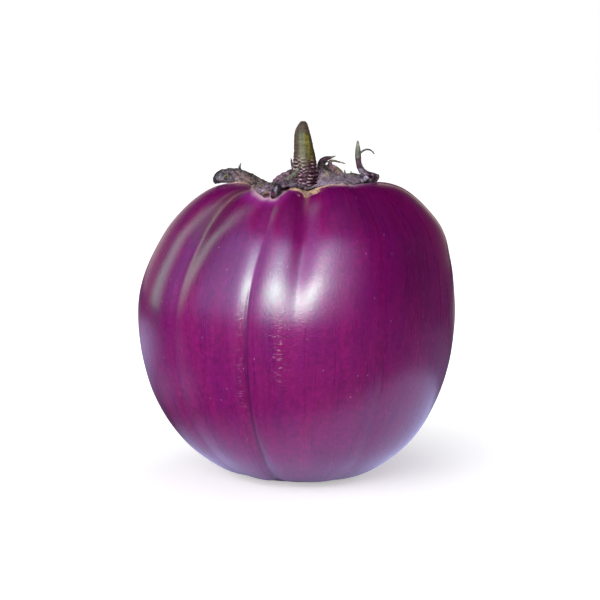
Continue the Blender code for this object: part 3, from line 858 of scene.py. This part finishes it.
def neighbour_mean(values, pairs, rounds):
    """Each point's values averaged with its neighbours', again and again."""
    count = np.bincount(pairs.ravel(), minlength=len(values)).clip(1)
    for _ in range(rounds):
        total = np.stack([
            np.bincount(pairs[:, 0], values[pairs[:, 1], k], len(values))
            + np.bincount(pairs[:, 1], values[pairs[:, 0], k], len(values)) for k in range(3)
        ], axis=1)
        values = 0.5 * values + 0.5 * total / count[:, None]
    return values


# red, green, blue and share of felt
CALYX_BASE = (0.116, 0.080, 0.098, 1.0)
# from, to and reach in mm, then colour and share of felt at both ends
CALYX_STROKES = (
    # broad fields: felt of the right lobe, around the stem, and the left sepal
    ((12, -17, 113), (22, -12, 114), 13, (0.23, 0.17, 0.22, 1), (0.20, 0.15, 0.19, 1)),
    ((-8, -3, 114), (-2, -3, 118), 6, (0.12, 0.08, 0.09, 1), (0.105, 0.066, 0.076, 1)),
    ((-14, -2, 113), (-31, -5, 116), 8, (0.08, 0.06, 0.058, 1), (0.105, 0.09, 0.10, 1)),
    # tail, tendril and left prickle, pale at their tips
    ((22, -6.3, 120.5), (21.6, -6, 128), 2.3, (0.11, 0.10, 0.085, 0.1), (0.30, 0.32, 0.24, 0)),
    ((23.2, -6.3, 123.4), (28.3, -6.3, 122.6), 1.5, (0.12, 0.10, 0.10, 0), (0.21, 0.20, 0.20, 0)),
    ((-22.2, -3.5, 117.4), (-21.6, -3.5, 119.8), 0.9, (0.06, 0.045, 0.04, 0), (0.20, 0.17, 0.14, 0)),
    # front lobe, from its warm felt down to the wine-dark underside
    ((-15.3, -27.7, 111.5), (-11.5, -35.3, 110.9), 2.2, (0.19, 0.13, 0.165, 0.9), (0.17, 0.11, 0.15, 0.9)),
    ((-17.3, -8, 113.1), (-15.4, -23.4, 112.4), 1, (0.22, 0.17, 0.085, 0.6), (0.20, 0.16, 0.085, 0.6)),
    ((-14.3, -5.7, 112.9), (-11.7, -25.4, 113.2), 1.1, (0.25, 0.165, 0.15, 0.8), (0.19, 0.12, 0.13, 0.8)),
    ((-13, -33.6, 110.8), (-11.6, -32.3, 112.2), 0.6, (0.36, 0.28, 0.40, 0.3), (0.40, 0.31, 0.43, 0.3)),
    ((-12.2, -35.3, 110.2), (-11.5, -35.7, 110.2), 0.7, (0.17, 0.124, 0.07, 0.3), (0.15, 0.085, 0.05, 0.3)),
    ((-12.2, -36.5, 109.2), (-10.8, -36.5, 109.5), 0.8, (0.05, 0.011, 0.013, 0.1), (0.057, 0.011, 0.015, 0.1)),
    ((-9.3, -38, 110.3), (-9.3, -38.4, 108.6), 1, (0.05, 0.006, 0.024, 0.1), (0.065, 0.004, 0.027, 0.1)),
    ((-9.5, -3.9, 113.2), (-4.7, -2.7, 115), 1.9, (0.16, 0.085, 0.13, 0.9), (0.22, 0.13, 0.17, 0.9)),
    ((-9.5, -27.4, 113.3), (-5.8, -34.1, 113.7), 0.7, (0.13, 0.11, 0.11, 0.4), (0.085, 0.06, 0.09, 0.4)),
    # front lobe: the fold in painted shade, the light line beside it, and the rolled edge above its
    # hollow, with painted shade, painted highlights and the hollow painted black
    ((-10.3, -25.6, 113.2), (-6.9, -4.7, 112.9), 0.4, (0.029, 0.015, 0.019, 0.1), (0.022, 0.013, 0.017, 0.1)),
    ((-6.9, -4.7, 112.9), (-3.7, -30, 114.2), 0.4, (0.37, 0.28, 0.35, 0.2), (0.32, 0.23, 0.29, 0.2)),
    ((-5.8, -34.9, 113), (-3, -32.9, 112.9), 0.8, (0.11, 0.065, 0.11, 0.5), (0.15, 0.10, 0.15, 0.5)),
    # the next two: painted shade on both sides of the rolled edge
    ((-7.2, -35.3, 113), (-6.9, -35.5, 110.2), 1, (0.032, 0.02, 0.04, 0.1), (0.017, 0.005, 0.019, 0.1)),
    ((-8, -30.5, 113.1), (-9.3, -37.8, 110.7), 0.6, (0.017, 0.011, 0.019, 0), (0.019, 0.008, 0.019, 0)),
    # painted highlight on the rolled edge
    ((-7.9, -36.1, 112.4), (-8.3, -37.4, 111), 0.4, (0.15, 0.15, 0.18, 0), (0.32, 0.32, 0.39, 0)),
    # the hollow under the roll, painted near black as its shade
    ((-5.8, -34.6, 111.6), (-0.9, -30.6, 111.7), 1.2, (0.006, 0.004, 0.007, 0), (0.007, 0.006, 0.008, 0)),
    # painted highlight along the roll's pale lip
    ((-5.8, -35.1, 112.3), (-3.7, -33.2, 112.6), 0.4, (0.31, 0.23, 0.27, 0.1), (0.23, 0.16, 0.19, 0.1)),
    ((-3, -32.9, 112.9), (-0.1, -28.9, 112), 0.9, (0.23, 0.18, 0.27, 0.6), (0.20, 0.16, 0.21, 0.6)),
    # front prickle
    ((-5.9, -26.2, 110.6), (-0.5, -19, 118), 2.4, (0.30, 0.32, 0.24, 0), (0.23, 0.23, 0.17, 0)),
    # back right lobe, and the hooks on it
    ((7.4, 7.5, 117.6), (8.1, -1.5, 115.7), 1.2, (0.135, 0.094, 0.13, 0.8), (0.13, 0.09, 0.135, 0.8)),
    ((9.7, 7.6, 117.6), (10, -2.5, 115), 1.6, (0.31, 0.24, 0.21, 0.8), (0.27, 0.20, 0.21, 0.8)),
    ((12.8, 7.1, 117.2), (14.3, 6, 115.4), 1.7, (0.32, 0.19, 0.18, 0.8), (0.29, 0.17, 0.18, 0.8)),
    ((11.6, 8.5, 119.1), (12.4, 7.3, 117.6), 1, (0.27, 0.16, 0.22, 0.6), (0.26, 0.135, 0.17, 0.6)),
    ((14.3, 6.6, 117.6), (16.5, 4.7, 115.8), 0.8, (0.17, 0.15, 0.05, 0.3), (0.15, 0.14, 0.048, 0.3)),
    ((10.3, -1.4, 115.7), (11.1, -2.9, 114.7), 0.4, (0.55, 0.46, 0.24, 0), (0.46, 0.37, 0.21, 0)),
    ((7.4, 7.7, 118.7), (9.7, 7.5, 120.6), 1.5, (0.042, 0.014, 0.024, 0.3), (0.11, 0.045, 0.076, 0.3)),
    ((11.3, 8.2, 121.4), (12.8, 8.5, 121.4), 0.6, (0.10, 0.057, 0.048, 0), (0.37, 0.35, 0.32, 0)),
    ((12, 8.5, 119.8), (16.6, 8.7, 119.1), 0.7, (0.20, 0.16, 0.11, 0.1), (0.28, 0.24, 0.21, 0.1)),
    # right lobe, its folded tip with the light patch, and the knob under the tail
    ((8.5, -26.8, 113.3), (20.3, -19.9, 114.4), 3, (0.24, 0.18, 0.26, 1), (0.25, 0.17, 0.23, 1)),
    ((17.7, -8.8, 115.3), (22.2, -7.5, 115.3), 0.7, (0.18, 0.165, 0.135, 0.8), (0.17, 0.15, 0.13, 0.8)),
    ((23.2, -8.1, 117.5), (26.5, -11, 115.8), 0.8, (0.07, 0.027, 0.045, 0.2), (0.034, 0.011, 0.022, 0.2)),
    ((25.8, -8.7, 114.6), (28.3, -11.7, 114.4), 1.6, (0.057, 0.024, 0.048, 0.3), (0.065, 0.019, 0.036, 0.2)),
    ((27.3, -9.5, 116.1), (29.6, -6.6, 113.7), 0.6, (0.013, 0.004, 0.008, 0), (0.01, 0.003, 0.006, 0)),
    ((26, -12.6, 112.9), (28, -10.8, 113.2), 0.6, (0.23, 0.14, 0.15, 0.2), (0.17, 0.085, 0.094, 0.2)),
    ((22.8, -9.1, 114.6), (25.1, -9, 115), 0.5, (0.048, 0.022, 0.048, 0), (0.027, 0.011, 0.024, 0)),
    ((22.4, -21.1, 113.4), (25.6, -13.6, 113), 0.6, (0.048, 0.019, 0.045, 0), (0.022, 0.007, 0.019, 0)),
    ((25.8, -8.7, 114.6), (25.2, -15.4, 113.4), 0.6, (0.032, 0.011, 0.032, 0), (0.022, 0.007, 0.022, 0)),
    ((23.2, -20, 113.7), (25.1, -8.4, 114.2), 1, (0.47, 0.38, 0.51, 0.1), (0.61, 0.53, 0.65, 0.1)),
    # painted highlight at the foot of the tail
    ((22.5, -8, 117.5), (23.6, -8.3, 116.8), 0.5, (0.39, 0.33, 0.42, 0), (0.32, 0.27, 0.35, 0)),
    ((22.1, -7.5, 120.5), (22.1, -7.7, 118.2), 1.3, (0.11, 0.05, 0.08, 0.1), (0.05, 0.017, 0.032, 0.1)),
    # left sepal: felt, ochre edge, dark rim, a painted highlight on its tip, and the pale spot at its tip
    ((-24.7, -8.2, 115.3), (-18.7, -8, 113.8), 2.2, (0.15, 0.11, 0.124, 1), (0.17, 0.11, 0.11, 1)),
    ((-19.5, -9, 112.4), (-13, -30.1, 112), 0.7, (0.27, 0.19, 0.11, 0.5), (0.20, 0.135, 0.11, 0.5)),
    ((-29.9, -7, 115.2), (-26.1, -8.7, 115), 1.9, (0.076, 0.06, 0.076, 0.5), (0.11, 0.09, 0.11, 0.7)),
    ((-31.4, -6.6, 113.7), (-30.6, -8.1, 112.7), 0.7, (0.013, 0.006, 0.011, 0), (0.014, 0.006, 0.011, 0)),
    ((-30.6, -8.1, 112.7), (-26.1, -9.7, 112.4), 0.7, (0.019, 0.008, 0.014, 0), (0.036, 0.019, 0.027, 0.2)),
    ((-31.5, -5.6, 114.4), (-30, -5.2, 116.3), 0.6, (0.022, 0.014, 0.02, 0), (0.027, 0.017, 0.024, 0)),
    ((-30, -5.2, 116.3), (-26.3, -4.7, 117.4), 0.5, (0.029, 0.019, 0.024, 0.1), (0.048, 0.032, 0.036, 0.3)),
    # painted highlight on the sepal's rolled tip
    ((-29.5, -8.6, 113.8), (-29.2, -7.4, 115.6), 0.4, (0.135, 0.12, 0.16, 0), (0.20, 0.18, 0.22, 0)),
    ((-27.2, -10.3, 114.7), (-27, -10.3, 114.7), 1, (0.47, 0.42, 0.24, 0), (0.44, 0.37, 0.21, 0)),
    ((-27.2, -10.3, 114.7), (-26.9, -8.8, 114.6), 0.4, (0.094, 0.07, 0.036, 0), (0.094, 0.07, 0.036, 0)),
)
calyx_mm = points_of(calyx) / MM
pairs = np.empty(len(calyx.data.edges) * 2, dtype=int)
calyx.data.edges.foreach_get("vertices", pairs)
pairs = pairs.reshape(-1, 2)
proud = ((calyx_mm - neighbour_mean(calyx_mm, pairs, 14)) * normals_of(calyx)).sum(axis=1)
tint, felt = brush(calyx_mm, CALYX_BASE, CALYX_STROKES, 23, depth=0.4)
paint(calyx, "tint", tint)
paint(calyx, "felt", felt)
paint(calyx, "edge", ease(0.14, 0.42, proud) * (0.25 + 0.75 * felt))
# points sunk below their neighbours lie in folds, which the material darkens as painted shade
paint(calyx, "fold", ease(0.05, 0.30, -proud))
print("edges on", int((proud > 0.2).sum()), "points, folds on", int((proud < -0.15).sum()))

# %% [markdown]
# On real felt the colour lies in blotches, and single hairs catch the light as pale flecks over
# dark pits. The painted tint is multiplied by the blotches first. Edges, folds, flecks and pits
# come on top, the last two only where the stroke says felt, because spines and folds are smooth.
# The folds are darkened as painted shade.

# %% Calyx material
calyx_look, tree = new_material("felted calyx")
shader = tree.nodes["Principled BSDF"]
place = object_place(tree)
felt_share = painted(tree, "felt")
blotches = noise(tree, place, 420, 3, 0.6)
grain = fine_grain(tree, place, 1150, 0.52)
shading = spread(tree, blotches, 0.32, 0.68, 0.25, 1.35)
colour = mix_colour(tree, 1.0, painted(tree, "tint", "Color"), shading, "MULTIPLY")
for share, strength, tone in (
    (painted(tree, "edge"), 0.85, (0.020, 0.010, 0.015)),
    # folds darkened with painted shade
    (painted(tree, "fold"), 0.6, (0.015, 0.008, 0.011)),
    (times(tree, grain["Flecks"], felt_share), 0.6, (0.36, 0.27, 0.29)),
    (times(tree, grain["Pits"], felt_share), 0.85, (0.016, 0.008, 0.010)),
):
    colour = mix_colour(tree, times(tree, share, strength), colour, tone)
tree.links.new(colour, shader.inputs["Base Color"])
tree.links.new(spread(tree, felt_share, 0, 1, 0.45, 0.8), shader.inputs["Roughness"])
shader.inputs["Specular IOR Level"].default_value = 0.14
add_bump(tree, shader, grain["Height"], 0.8, 0.3 * MM)
calyx.data.materials.append(calyx_look)
print(calyx_look.name, "has", len(tree.nodes), "nodes")

# %% [markdown]
# ## The stem
# The stem is tough and dry: wrinkled at its foot like a pushed-up sleeve, with fibres further up
# and a rounded cut at the top. It could be lathed, but the wrinkles have to break off and start
# again beside each other, as real ones do. So a fine sphere is moved onto a table of radii, as
# for the skin, and the waves up the stem shift by half a wave from one column to the next.

# %% Fine stem
# height, radius and shift to the right, in mm
STEM_OUTLINE = (
    (109.6, 4.6, 2.8), (113.0, 4.75, 2.6), (116.0, 4.65, 2.4), (118.7, 4.45, 2.2), (120.6, 4.25, 2.1),
    (124.3, 3.7, 1.9), (128.0, 3.3, 1.5), (131.0, 2.7, 1.3), (133.4, 1.75, 1.5), (134.4, 1.2, 1.6),
)
STEM_FOOT, STEM_TOP = 109.6, 134.4
STEM_SEGMENTS, STEM_RINGS = 150, 300
# the shares of the rings where the cut end starts to round off, and where it is at full height
ROUNDED, FULL_HEIGHT = 0.965, 0.985
WRINKLE_SPACING = 1.35

bpy.ops.mesh.primitive_uv_sphere_add(segments=STEM_SEGMENTS, ring_count=STEM_RINGS, radius=1.0)
stem = only(bpy.context.object)
stem.name = stem.data.name = "stem_bark"
ball = points_of(stem)
share = np.rint(np.arccos(np.clip(-ball[:, 2], -1, 1)) / math.pi * STEM_RINGS) / STEM_RINGS
stem_turn = np.degrees(np.arctan2(ball[:, 0], -ball[:, 1]))
angle = np.radians(stem_turn)
direction = np.stack((np.sin(angle), -np.cos(angle)), axis=1)
off_pole = (share > 0.5 / STEM_RINGS) & (share < 1 - 0.5 / STEM_RINGS)
top = ease(ROUNDED, 1.0, share)
level = STEM_FOOT + (STEM_TOP - STEM_FOOT) * np.clip(share / FULL_HEIGHT, 0, 1)
radius, shift = curve_through(STEM_OUTLINE, level).T
radius = radius * np.sqrt(1 - ((share - ROUNDED) / (1 - ROUNDED)).clip(0, 1) ** 2) * off_pole
level = level + 0.5 * top


def stem_ripple(girth, upwards, scale, seed, octaves=3):
    """Lumps on the stem, with its girth and its height each stretched."""
    return ripple(np.column_stack((direction * girth, level * upwards)), scale, seed, octaves)


# %% Wrinkles and fibres
wavy = level + 0.22 * stem_ripple(5, 1, 4, 31)
flakes = stem_ripple(4.6, 0.9, 1.0, 32)
columns = ease(-0.2, 0.2, stem_ripple(7.5, 0.30, 3.0, 35, octaves=2))
waves = np.sin(math.tau * (wavy / WRINKLE_SPACING + 0.5 * columns))
wrinkle = np.clip(waves * (0.35 + 0.65 * np.abs(2 * columns - 1)) + flakes * 0.42, -1.2, 1.2)
wrinkled = 1 - ease(117.5, 124, level + 1.2 * np.cos(angle - math.radians(60)))
fibres = stem_ripple(5, 0.12, 1.0, 33)
relief = 0.20 * wrinkle * wrinkled + (0.08 * fibres + 0.07 * flakes) * (1 - 0.6 * wrinkled)
radius = radius + relief * off_pole * (1 - top)
stem_mm = np.column_stack((direction * radius[:, None], level))
stem_mm[:, 0] += shift
move_points(stem, stem_mm * MM)
bpy.ops.object.shade_smooth()
print("stem:", len(stem_mm), "points, wrinkled on", int((wrinkled > 0.5).sum()))

# %% [markdown]
# The stem is green with a wine-coloured foot. It is painted brighter towards the light, with a
# pale band of painted light down its front and painted shade along its right edge. Here the
# strokes run up and down it. The crests of the wrinkles get pale dashes of painted highlight,
# fewer of them on the right, away from the light, and the grooves between get painted shade.

# %% Stem colours
STEM_BASE = (0.074, 0.050, 0.024, 1.0)
STEM_STROKES = (
    ((-1.9, -2.6, 130), (-2.2, -3.0, 119), 2.6, (0.066, 0.040, 0.024, 1), (0.062, 0.036, 0.024, 1)),
    # painted light: a pale band down the front of the stem, where it faces the light
    ((0.6, -3.4, 131.5), (1.0, -5.0, 119), 2.2, (0.085, 0.076, 0.036, 1), (0.160, 0.134, 0.085, 1)),
    ((3.4, -3.0, 130), (5.2, -3.9, 120), 2.3, (0.150, 0.126, 0.018, 1), (0.105, 0.072, 0.012, 1)),
    # painted shade: a dark band along the right edge, away from the light
    ((4.9, -1.2, 129), (7.6, -1.4, 118), 1.9, (0.048, 0.030, 0.012, 1), (0.056, 0.028, 0.012, 1)),
    ((1.5, 0, 132.5), (1.5, 0, 136), 5.0, (0.066, 0.038, 0.025, 1), (0.050, 0.027, 0.019, 1)),
    ((3.2, 0, 108), (3.1, 0, 113.0), 8.6, (0.110, 0.036, 0.072, 1), (0.098, 0.034, 0.060, 1)),
    ((5.5, -4, 113), (5.5, -4, 117.0), 3.4, (0.050, 0.008, 0.022, 1), (0.056, 0.012, 0.022, 1)),
)
tint, _ = brush(stem_mm, STEM_BASE, STEM_STROKES, 34)
dashes = ease(-0.5, 0.3, stem_ripple(8, 1.5, 2.6, 36, octaves=2))
# the right side of the wrinkled foot faces away from the light, so fewer crests get the painted highlight
right_side = bell(turn_from(stem_turn, 48), 0, 30) * (1 - ease(117, 119, level))
paint(stem, "tint", tint)
# painted highlight on the crests of the wrinkles, and painted shade in the grooves
paint(stem, "crest_highlight", ease(0.30, 0.95, wrinkle) * wrinkled * dashes * (1 - 0.55 * right_side))
paint(stem, "groove_shade", ease(0.2, 1.0, -wrinkle) * (0.25 + 0.75 * wrinkled))
paint(stem, "fibre", fibres)

# %% Stem material
stem_look, tree = new_material("green and plum stem")
shader = tree.nodes["Principled BSDF"]
place = object_place(tree)
grain = fine_grain(tree, place, 1500, 0.56)
flat = vector_node(tree, "MULTIPLY", place, (0.35, 0.35, 2.2))
colour = painted(tree, "tint", "Color")
for shading in (
    spread(tree, painted(tree, "fibre"), -1.5, 1.5, 0.85, 1.15),
    spread(tree, noise(tree, flat, 620, 3, 0.6), 0.3, 0.7, 0.66, 1.30),
):
    colour = mix_colour(tree, 1.0, colour, shading, "MULTIPLY")
# painted shade in the grooves and painted highlights on the crests of the wrinkles
for share, strength, tone in (
    (painted(tree, "groove_shade"), 0.85, (0.014, 0.003, 0.007)),
    (painted(tree, "crest_highlight"), 0.9, (0.60, 0.43, 0.52)),
    (grain["Flecks"], 0.35, (0.26, 0.22, 0.17)), (grain["Pits"], 0.5, (0.030, 0.016, 0.012)),
):
    colour = mix_colour(tree, times(tree, share, strength), colour, tone)
tree.links.new(colour, shader.inputs["Base Color"])
tree.links.new(spread(tree, grain["Height"], 0.3, 0.7, 0.38, 0.55), shader.inputs["Roughness"])
shader.inputs["Specular IOR Level"].default_value = 0.22
add_bump(tree, shader, grain["Height"], 0.4, 0.2 * MM)
stem.data.materials.append(stem_look)
print(stem_look.name, "has", len(tree.nodes), "nodes")

# %% [markdown]
# ## Stage and light
# The photograph is cut out on plain white. The floor here has to look white as well, and still
# take a soft shadow, so that the eggplant stands. It glows for the camera alone, and less near
# the middle, where the shadow lies.

# %% Floor
scene = bpy.context.scene
scene.view_settings.view_transform = "Standard"
bpy.ops.mesh.primitive_plane_add(size=12, location=(0, 0, 0))
floor = only(bpy.context.object)
floor.name = "floor"
floor_look, tree = new_material("white floor")
shader = tree.nodes["Principled BSDF"]
for name, value in (
    ("Base Color", (0.9, 0.9, 0.9, 1)), ("Roughness", 0.9), ("Specular IOR Level", 0.1),
    ("Emission Color", (1, 1, 1, 1)),
):
    shader.inputs[name].default_value = value
seen = node(tree, "ShaderNodeLightPath").outputs["Is Camera Ray"]
glow = spread(tree, length_of(tree, object_place(tree)), 0.05, 0.22, 0.40, 1.0)
tree.links.new(times(tree, glow, seen), shader.inputs["Emission Strength"])
floor.data.materials.append(floor_look)

# %% [markdown]
# A glossy skin shows the room around it. Its lower half mirrors the table, and along its outline
# it mirrors what lies far behind, which is where the light lines at both sides come from. A
# second table is seen by reflections alone, so its glow can be put wherever the photograph shows
# one: bright close to the fruit, dimmer at both sides, and warm far behind.

# %% The table that reflections see
# middle, size, share of it that glows fully, and strength, in metres on the table
TABLE_GLOWS = (
    ((0.050, -0.002), (0.142, 0.100), 0.50, 1.35),
    ((-0.25, 0.19), (0.25, 0.30), 0.0, 1.0),
    ((0.22, 0.08), (0.26, 0.22), 0.0, 0.30),
    ((-0.125, -0.005), (0.065, 0.090), 0.0, 0.5),
)
GLOW_BEHIND = ((0.05, 0.58), (0.45, 0.42), 0.2)
GLOW_BEHIND_STRENGTH = 0.8
OWN_SHADOW = ((0.0, 0.0), (0.042, 0.042), 0.3)
LEAST_GLOW = 0.06


def glow_spot(tree, place, middle, sizes, full):
    """1 at a place on the table, fading from a share of an ellipse around it to 0 at its edge."""
    offset = vector_node(tree, "SUBTRACT", place, (*middle, 0))
    far = length_of(tree, vector_node(tree, "DIVIDE", offset, (*sizes, 1)))
    inputs = {0: far, 1: 1.0, 2: full, 3: 0.0, 4: 1.0}
    made = node(tree, "ShaderNodeMapRange", interpolation_type="SMOOTHERSTEP", inputs=inputs)
    return made.outputs[0]


bpy.ops.mesh.primitive_plane_add(size=6, location=(0, 0, 0))
card = only(bpy.context.object)
card.name = "reflected_table"
move_points(card, points_of(card) + (0, 0, 0.5 * MM))
card_look, tree = new_material("reflected table")
place = object_place(tree)
behind = glow_spot(tree, place, *GLOW_BEHIND)
glow = times(tree, behind, GLOW_BEHIND_STRENGTH)
for middle, sizes, full, strength in TABLE_GLOWS:
    glow = plus(tree, glow, times(tree, glow_spot(tree, place, middle, sizes, full), strength))
lit = math_node(tree, "SUBTRACT", 1.0, glow_spot(tree, place, *OWN_SHADOW))
glow = plus(tree, times(tree, glow, lit), LEAST_GLOW)
table_colour = mix_colour(tree, behind, (0.55, 0.62, 1.0), (1.0, 0.84, 0.74))
shine = node(tree, "ShaderNodeEmission", inputs={"Color": table_colour, "Strength": glow})
tree.links.new(shine.outputs[0], tree.nodes["Material Output"].inputs["Surface"])
card.data.materials.append(card_look)
card.visible_camera = card.visible_diffuse = card.visible_shadow = False

# %% [markdown]
# The upper half mirrors the lights: a broad blue sheen with a small, very bright patch in it, a
# tall strip at the left, and a warm glow low behind. Lamps could make them, but a lamp's
# reflection has hard edges, and its size and its brightness on the felt can't be chosen apart.
# So the world has soft spots that only reflections see, each with its own direction, size and
# colour. Other rays find a plain grey world, and the camera a white one.

# %% What the skin mirrors from above
# azimuth, elevation, half width, half height, squareness, and red, green and blue
MIRRORED = (
    (-28, 32, 64, 29, 8, (0.35, 1.00, 1.75)),
    (-7, 28, 38, 22, 3, (1.5, 3.3, 3.3)),
    (-7, 20, 17, 9, 2, (19.0, 27.0, 20.0)),
    (-118, 24, 9.5, 36, 4, (1.5, 2.5, 1.9)),
    (20, 75, 60, 14, 2, (0.25, 0.25, 0.30)),
    (180, -4, 33, 17, 3, (1.00, 0.82, 0.70)),
    (-180, -4, 33, 17, 3, (1.00, 0.82, 0.80)),
)
world = bpy.data.worlds.new("studio")
scene.world = world
world.use_nodes = True
tree = world.node_tree
rays = node(tree, "ShaderNodeLightPath").outputs
towards = node(tree, "ShaderNodeTexCoord").outputs["Generated"]
heading = node(tree, "ShaderNodeSeparateXYZ", inputs={0: towards}).outputs
azimuth = math_node(tree, "ARCTAN2", heading["X"], times(tree, heading["Y"], -1.0))
azimuth = times(tree, azimuth, math.degrees(1))
elevation = times(tree, math_node(tree, "ARCSINE", heading["Z"]), math.degrees(1))
mirrored = (0.0, 0.0, 0.0)
for middle, rise, wide, tall, squareness, light_colour in MIRRORED:
    far = 0.0
    for value, centre, size in ((azimuth, middle, wide), (elevation, rise, tall)):
        off = math_node(tree, "DIVIDE", math_node(tree, "SUBTRACT", value, centre), size)
        off = math_node(tree, "POWER", math_node(tree, "ABSOLUTE", off), squareness)
        far = plus(tree, off, far)
    strength = math_node(tree, "POWER", math.e, times(tree, far, -1.0))
    inputs = {0: light_colour, "Scale": strength}
    spot = node(tree, "ShaderNodeVectorMath", operation="SCALE", inputs=inputs).outputs[0]
    mirrored = vector_node(tree, "ADD", spot, mirrored)
shade = mix_colour(tree, rays["Is Glossy Ray"], (0.10, 0.10, 0.11), mirrored)
shade = mix_colour(tree, rays["Is Camera Ray"], shade, (1.0, 1.0, 1.0))
tree.links.new(shade, tree.nodes["Background"].inputs["Color"])
print("mirrored spots:", len(MIRRORED), "in the world and", len(TABLE_GLOWS) + 1, "on the table")

# %% [markdown]
# The lamps light the felt, the bark and the floor. They are large soft boxes, strongest from the
# front, and are left out of the reflections, which the world takes care of.

# %% Lamps
# name, azimuth, elevation, distance, width, height and radiance
LAMPS = (
    ("front soft box", -14, 16, 1.1, 0.9, 0.6, 7.0),
    ("left soft box", -58, 12, 1.3, 1.2, 1.2, 2.7),
    ("overhead", 0, 80, 1.5, 2.0, 2.0, 0.5),
    ("right rear", 110, 12, 1.3, 1.0, 1.0, 1.7),
)
LAMP_TARGET = Vector((0, 0, 0.07))


def soft_box(name, azimuth, elevation, distance, width, height, radiance):
    """A rectangular light that looks at the eggplant, and only lights what isn't a mirror."""
    lamp = bpy.data.lights.new(name, "AREA")
    lamp.shape = "RECTANGLE"
    lamp.size, lamp.size_y = width, height
    lamp.energy = radiance * math.pi * width * height
    made = bpy.data.objects.new(name, lamp)
    bpy.context.scene.collection.objects.link(made)
    turn, rise = math.radians(azimuth), math.radians(elevation)
    aim = Vector((math.sin(turn) * math.cos(rise), -math.cos(turn) * math.cos(rise), math.sin(rise)))
    made.location = LAMP_TARGET + aim * distance
    made.rotation_euler = aim.to_track_quat("Z", "Y").to_euler()
    made.visible_glossy = False
    return made


lamps = [soft_box(*row) for row in LAMPS]
print("lamps:", [lamp.name for lamp in lamps])

# %% [markdown]
# ## Join the pieces to the imported model
# Every fine piece rides on the root body, and the solid it takes the place of is hidden.

# %% Pieces
for piece, solid, slot in ((skin, "fruit", "skin"), (calyx, "calyx", "calyx"), (stem, "stem", "stem")):
    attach(piece, "root")
    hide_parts(solid)
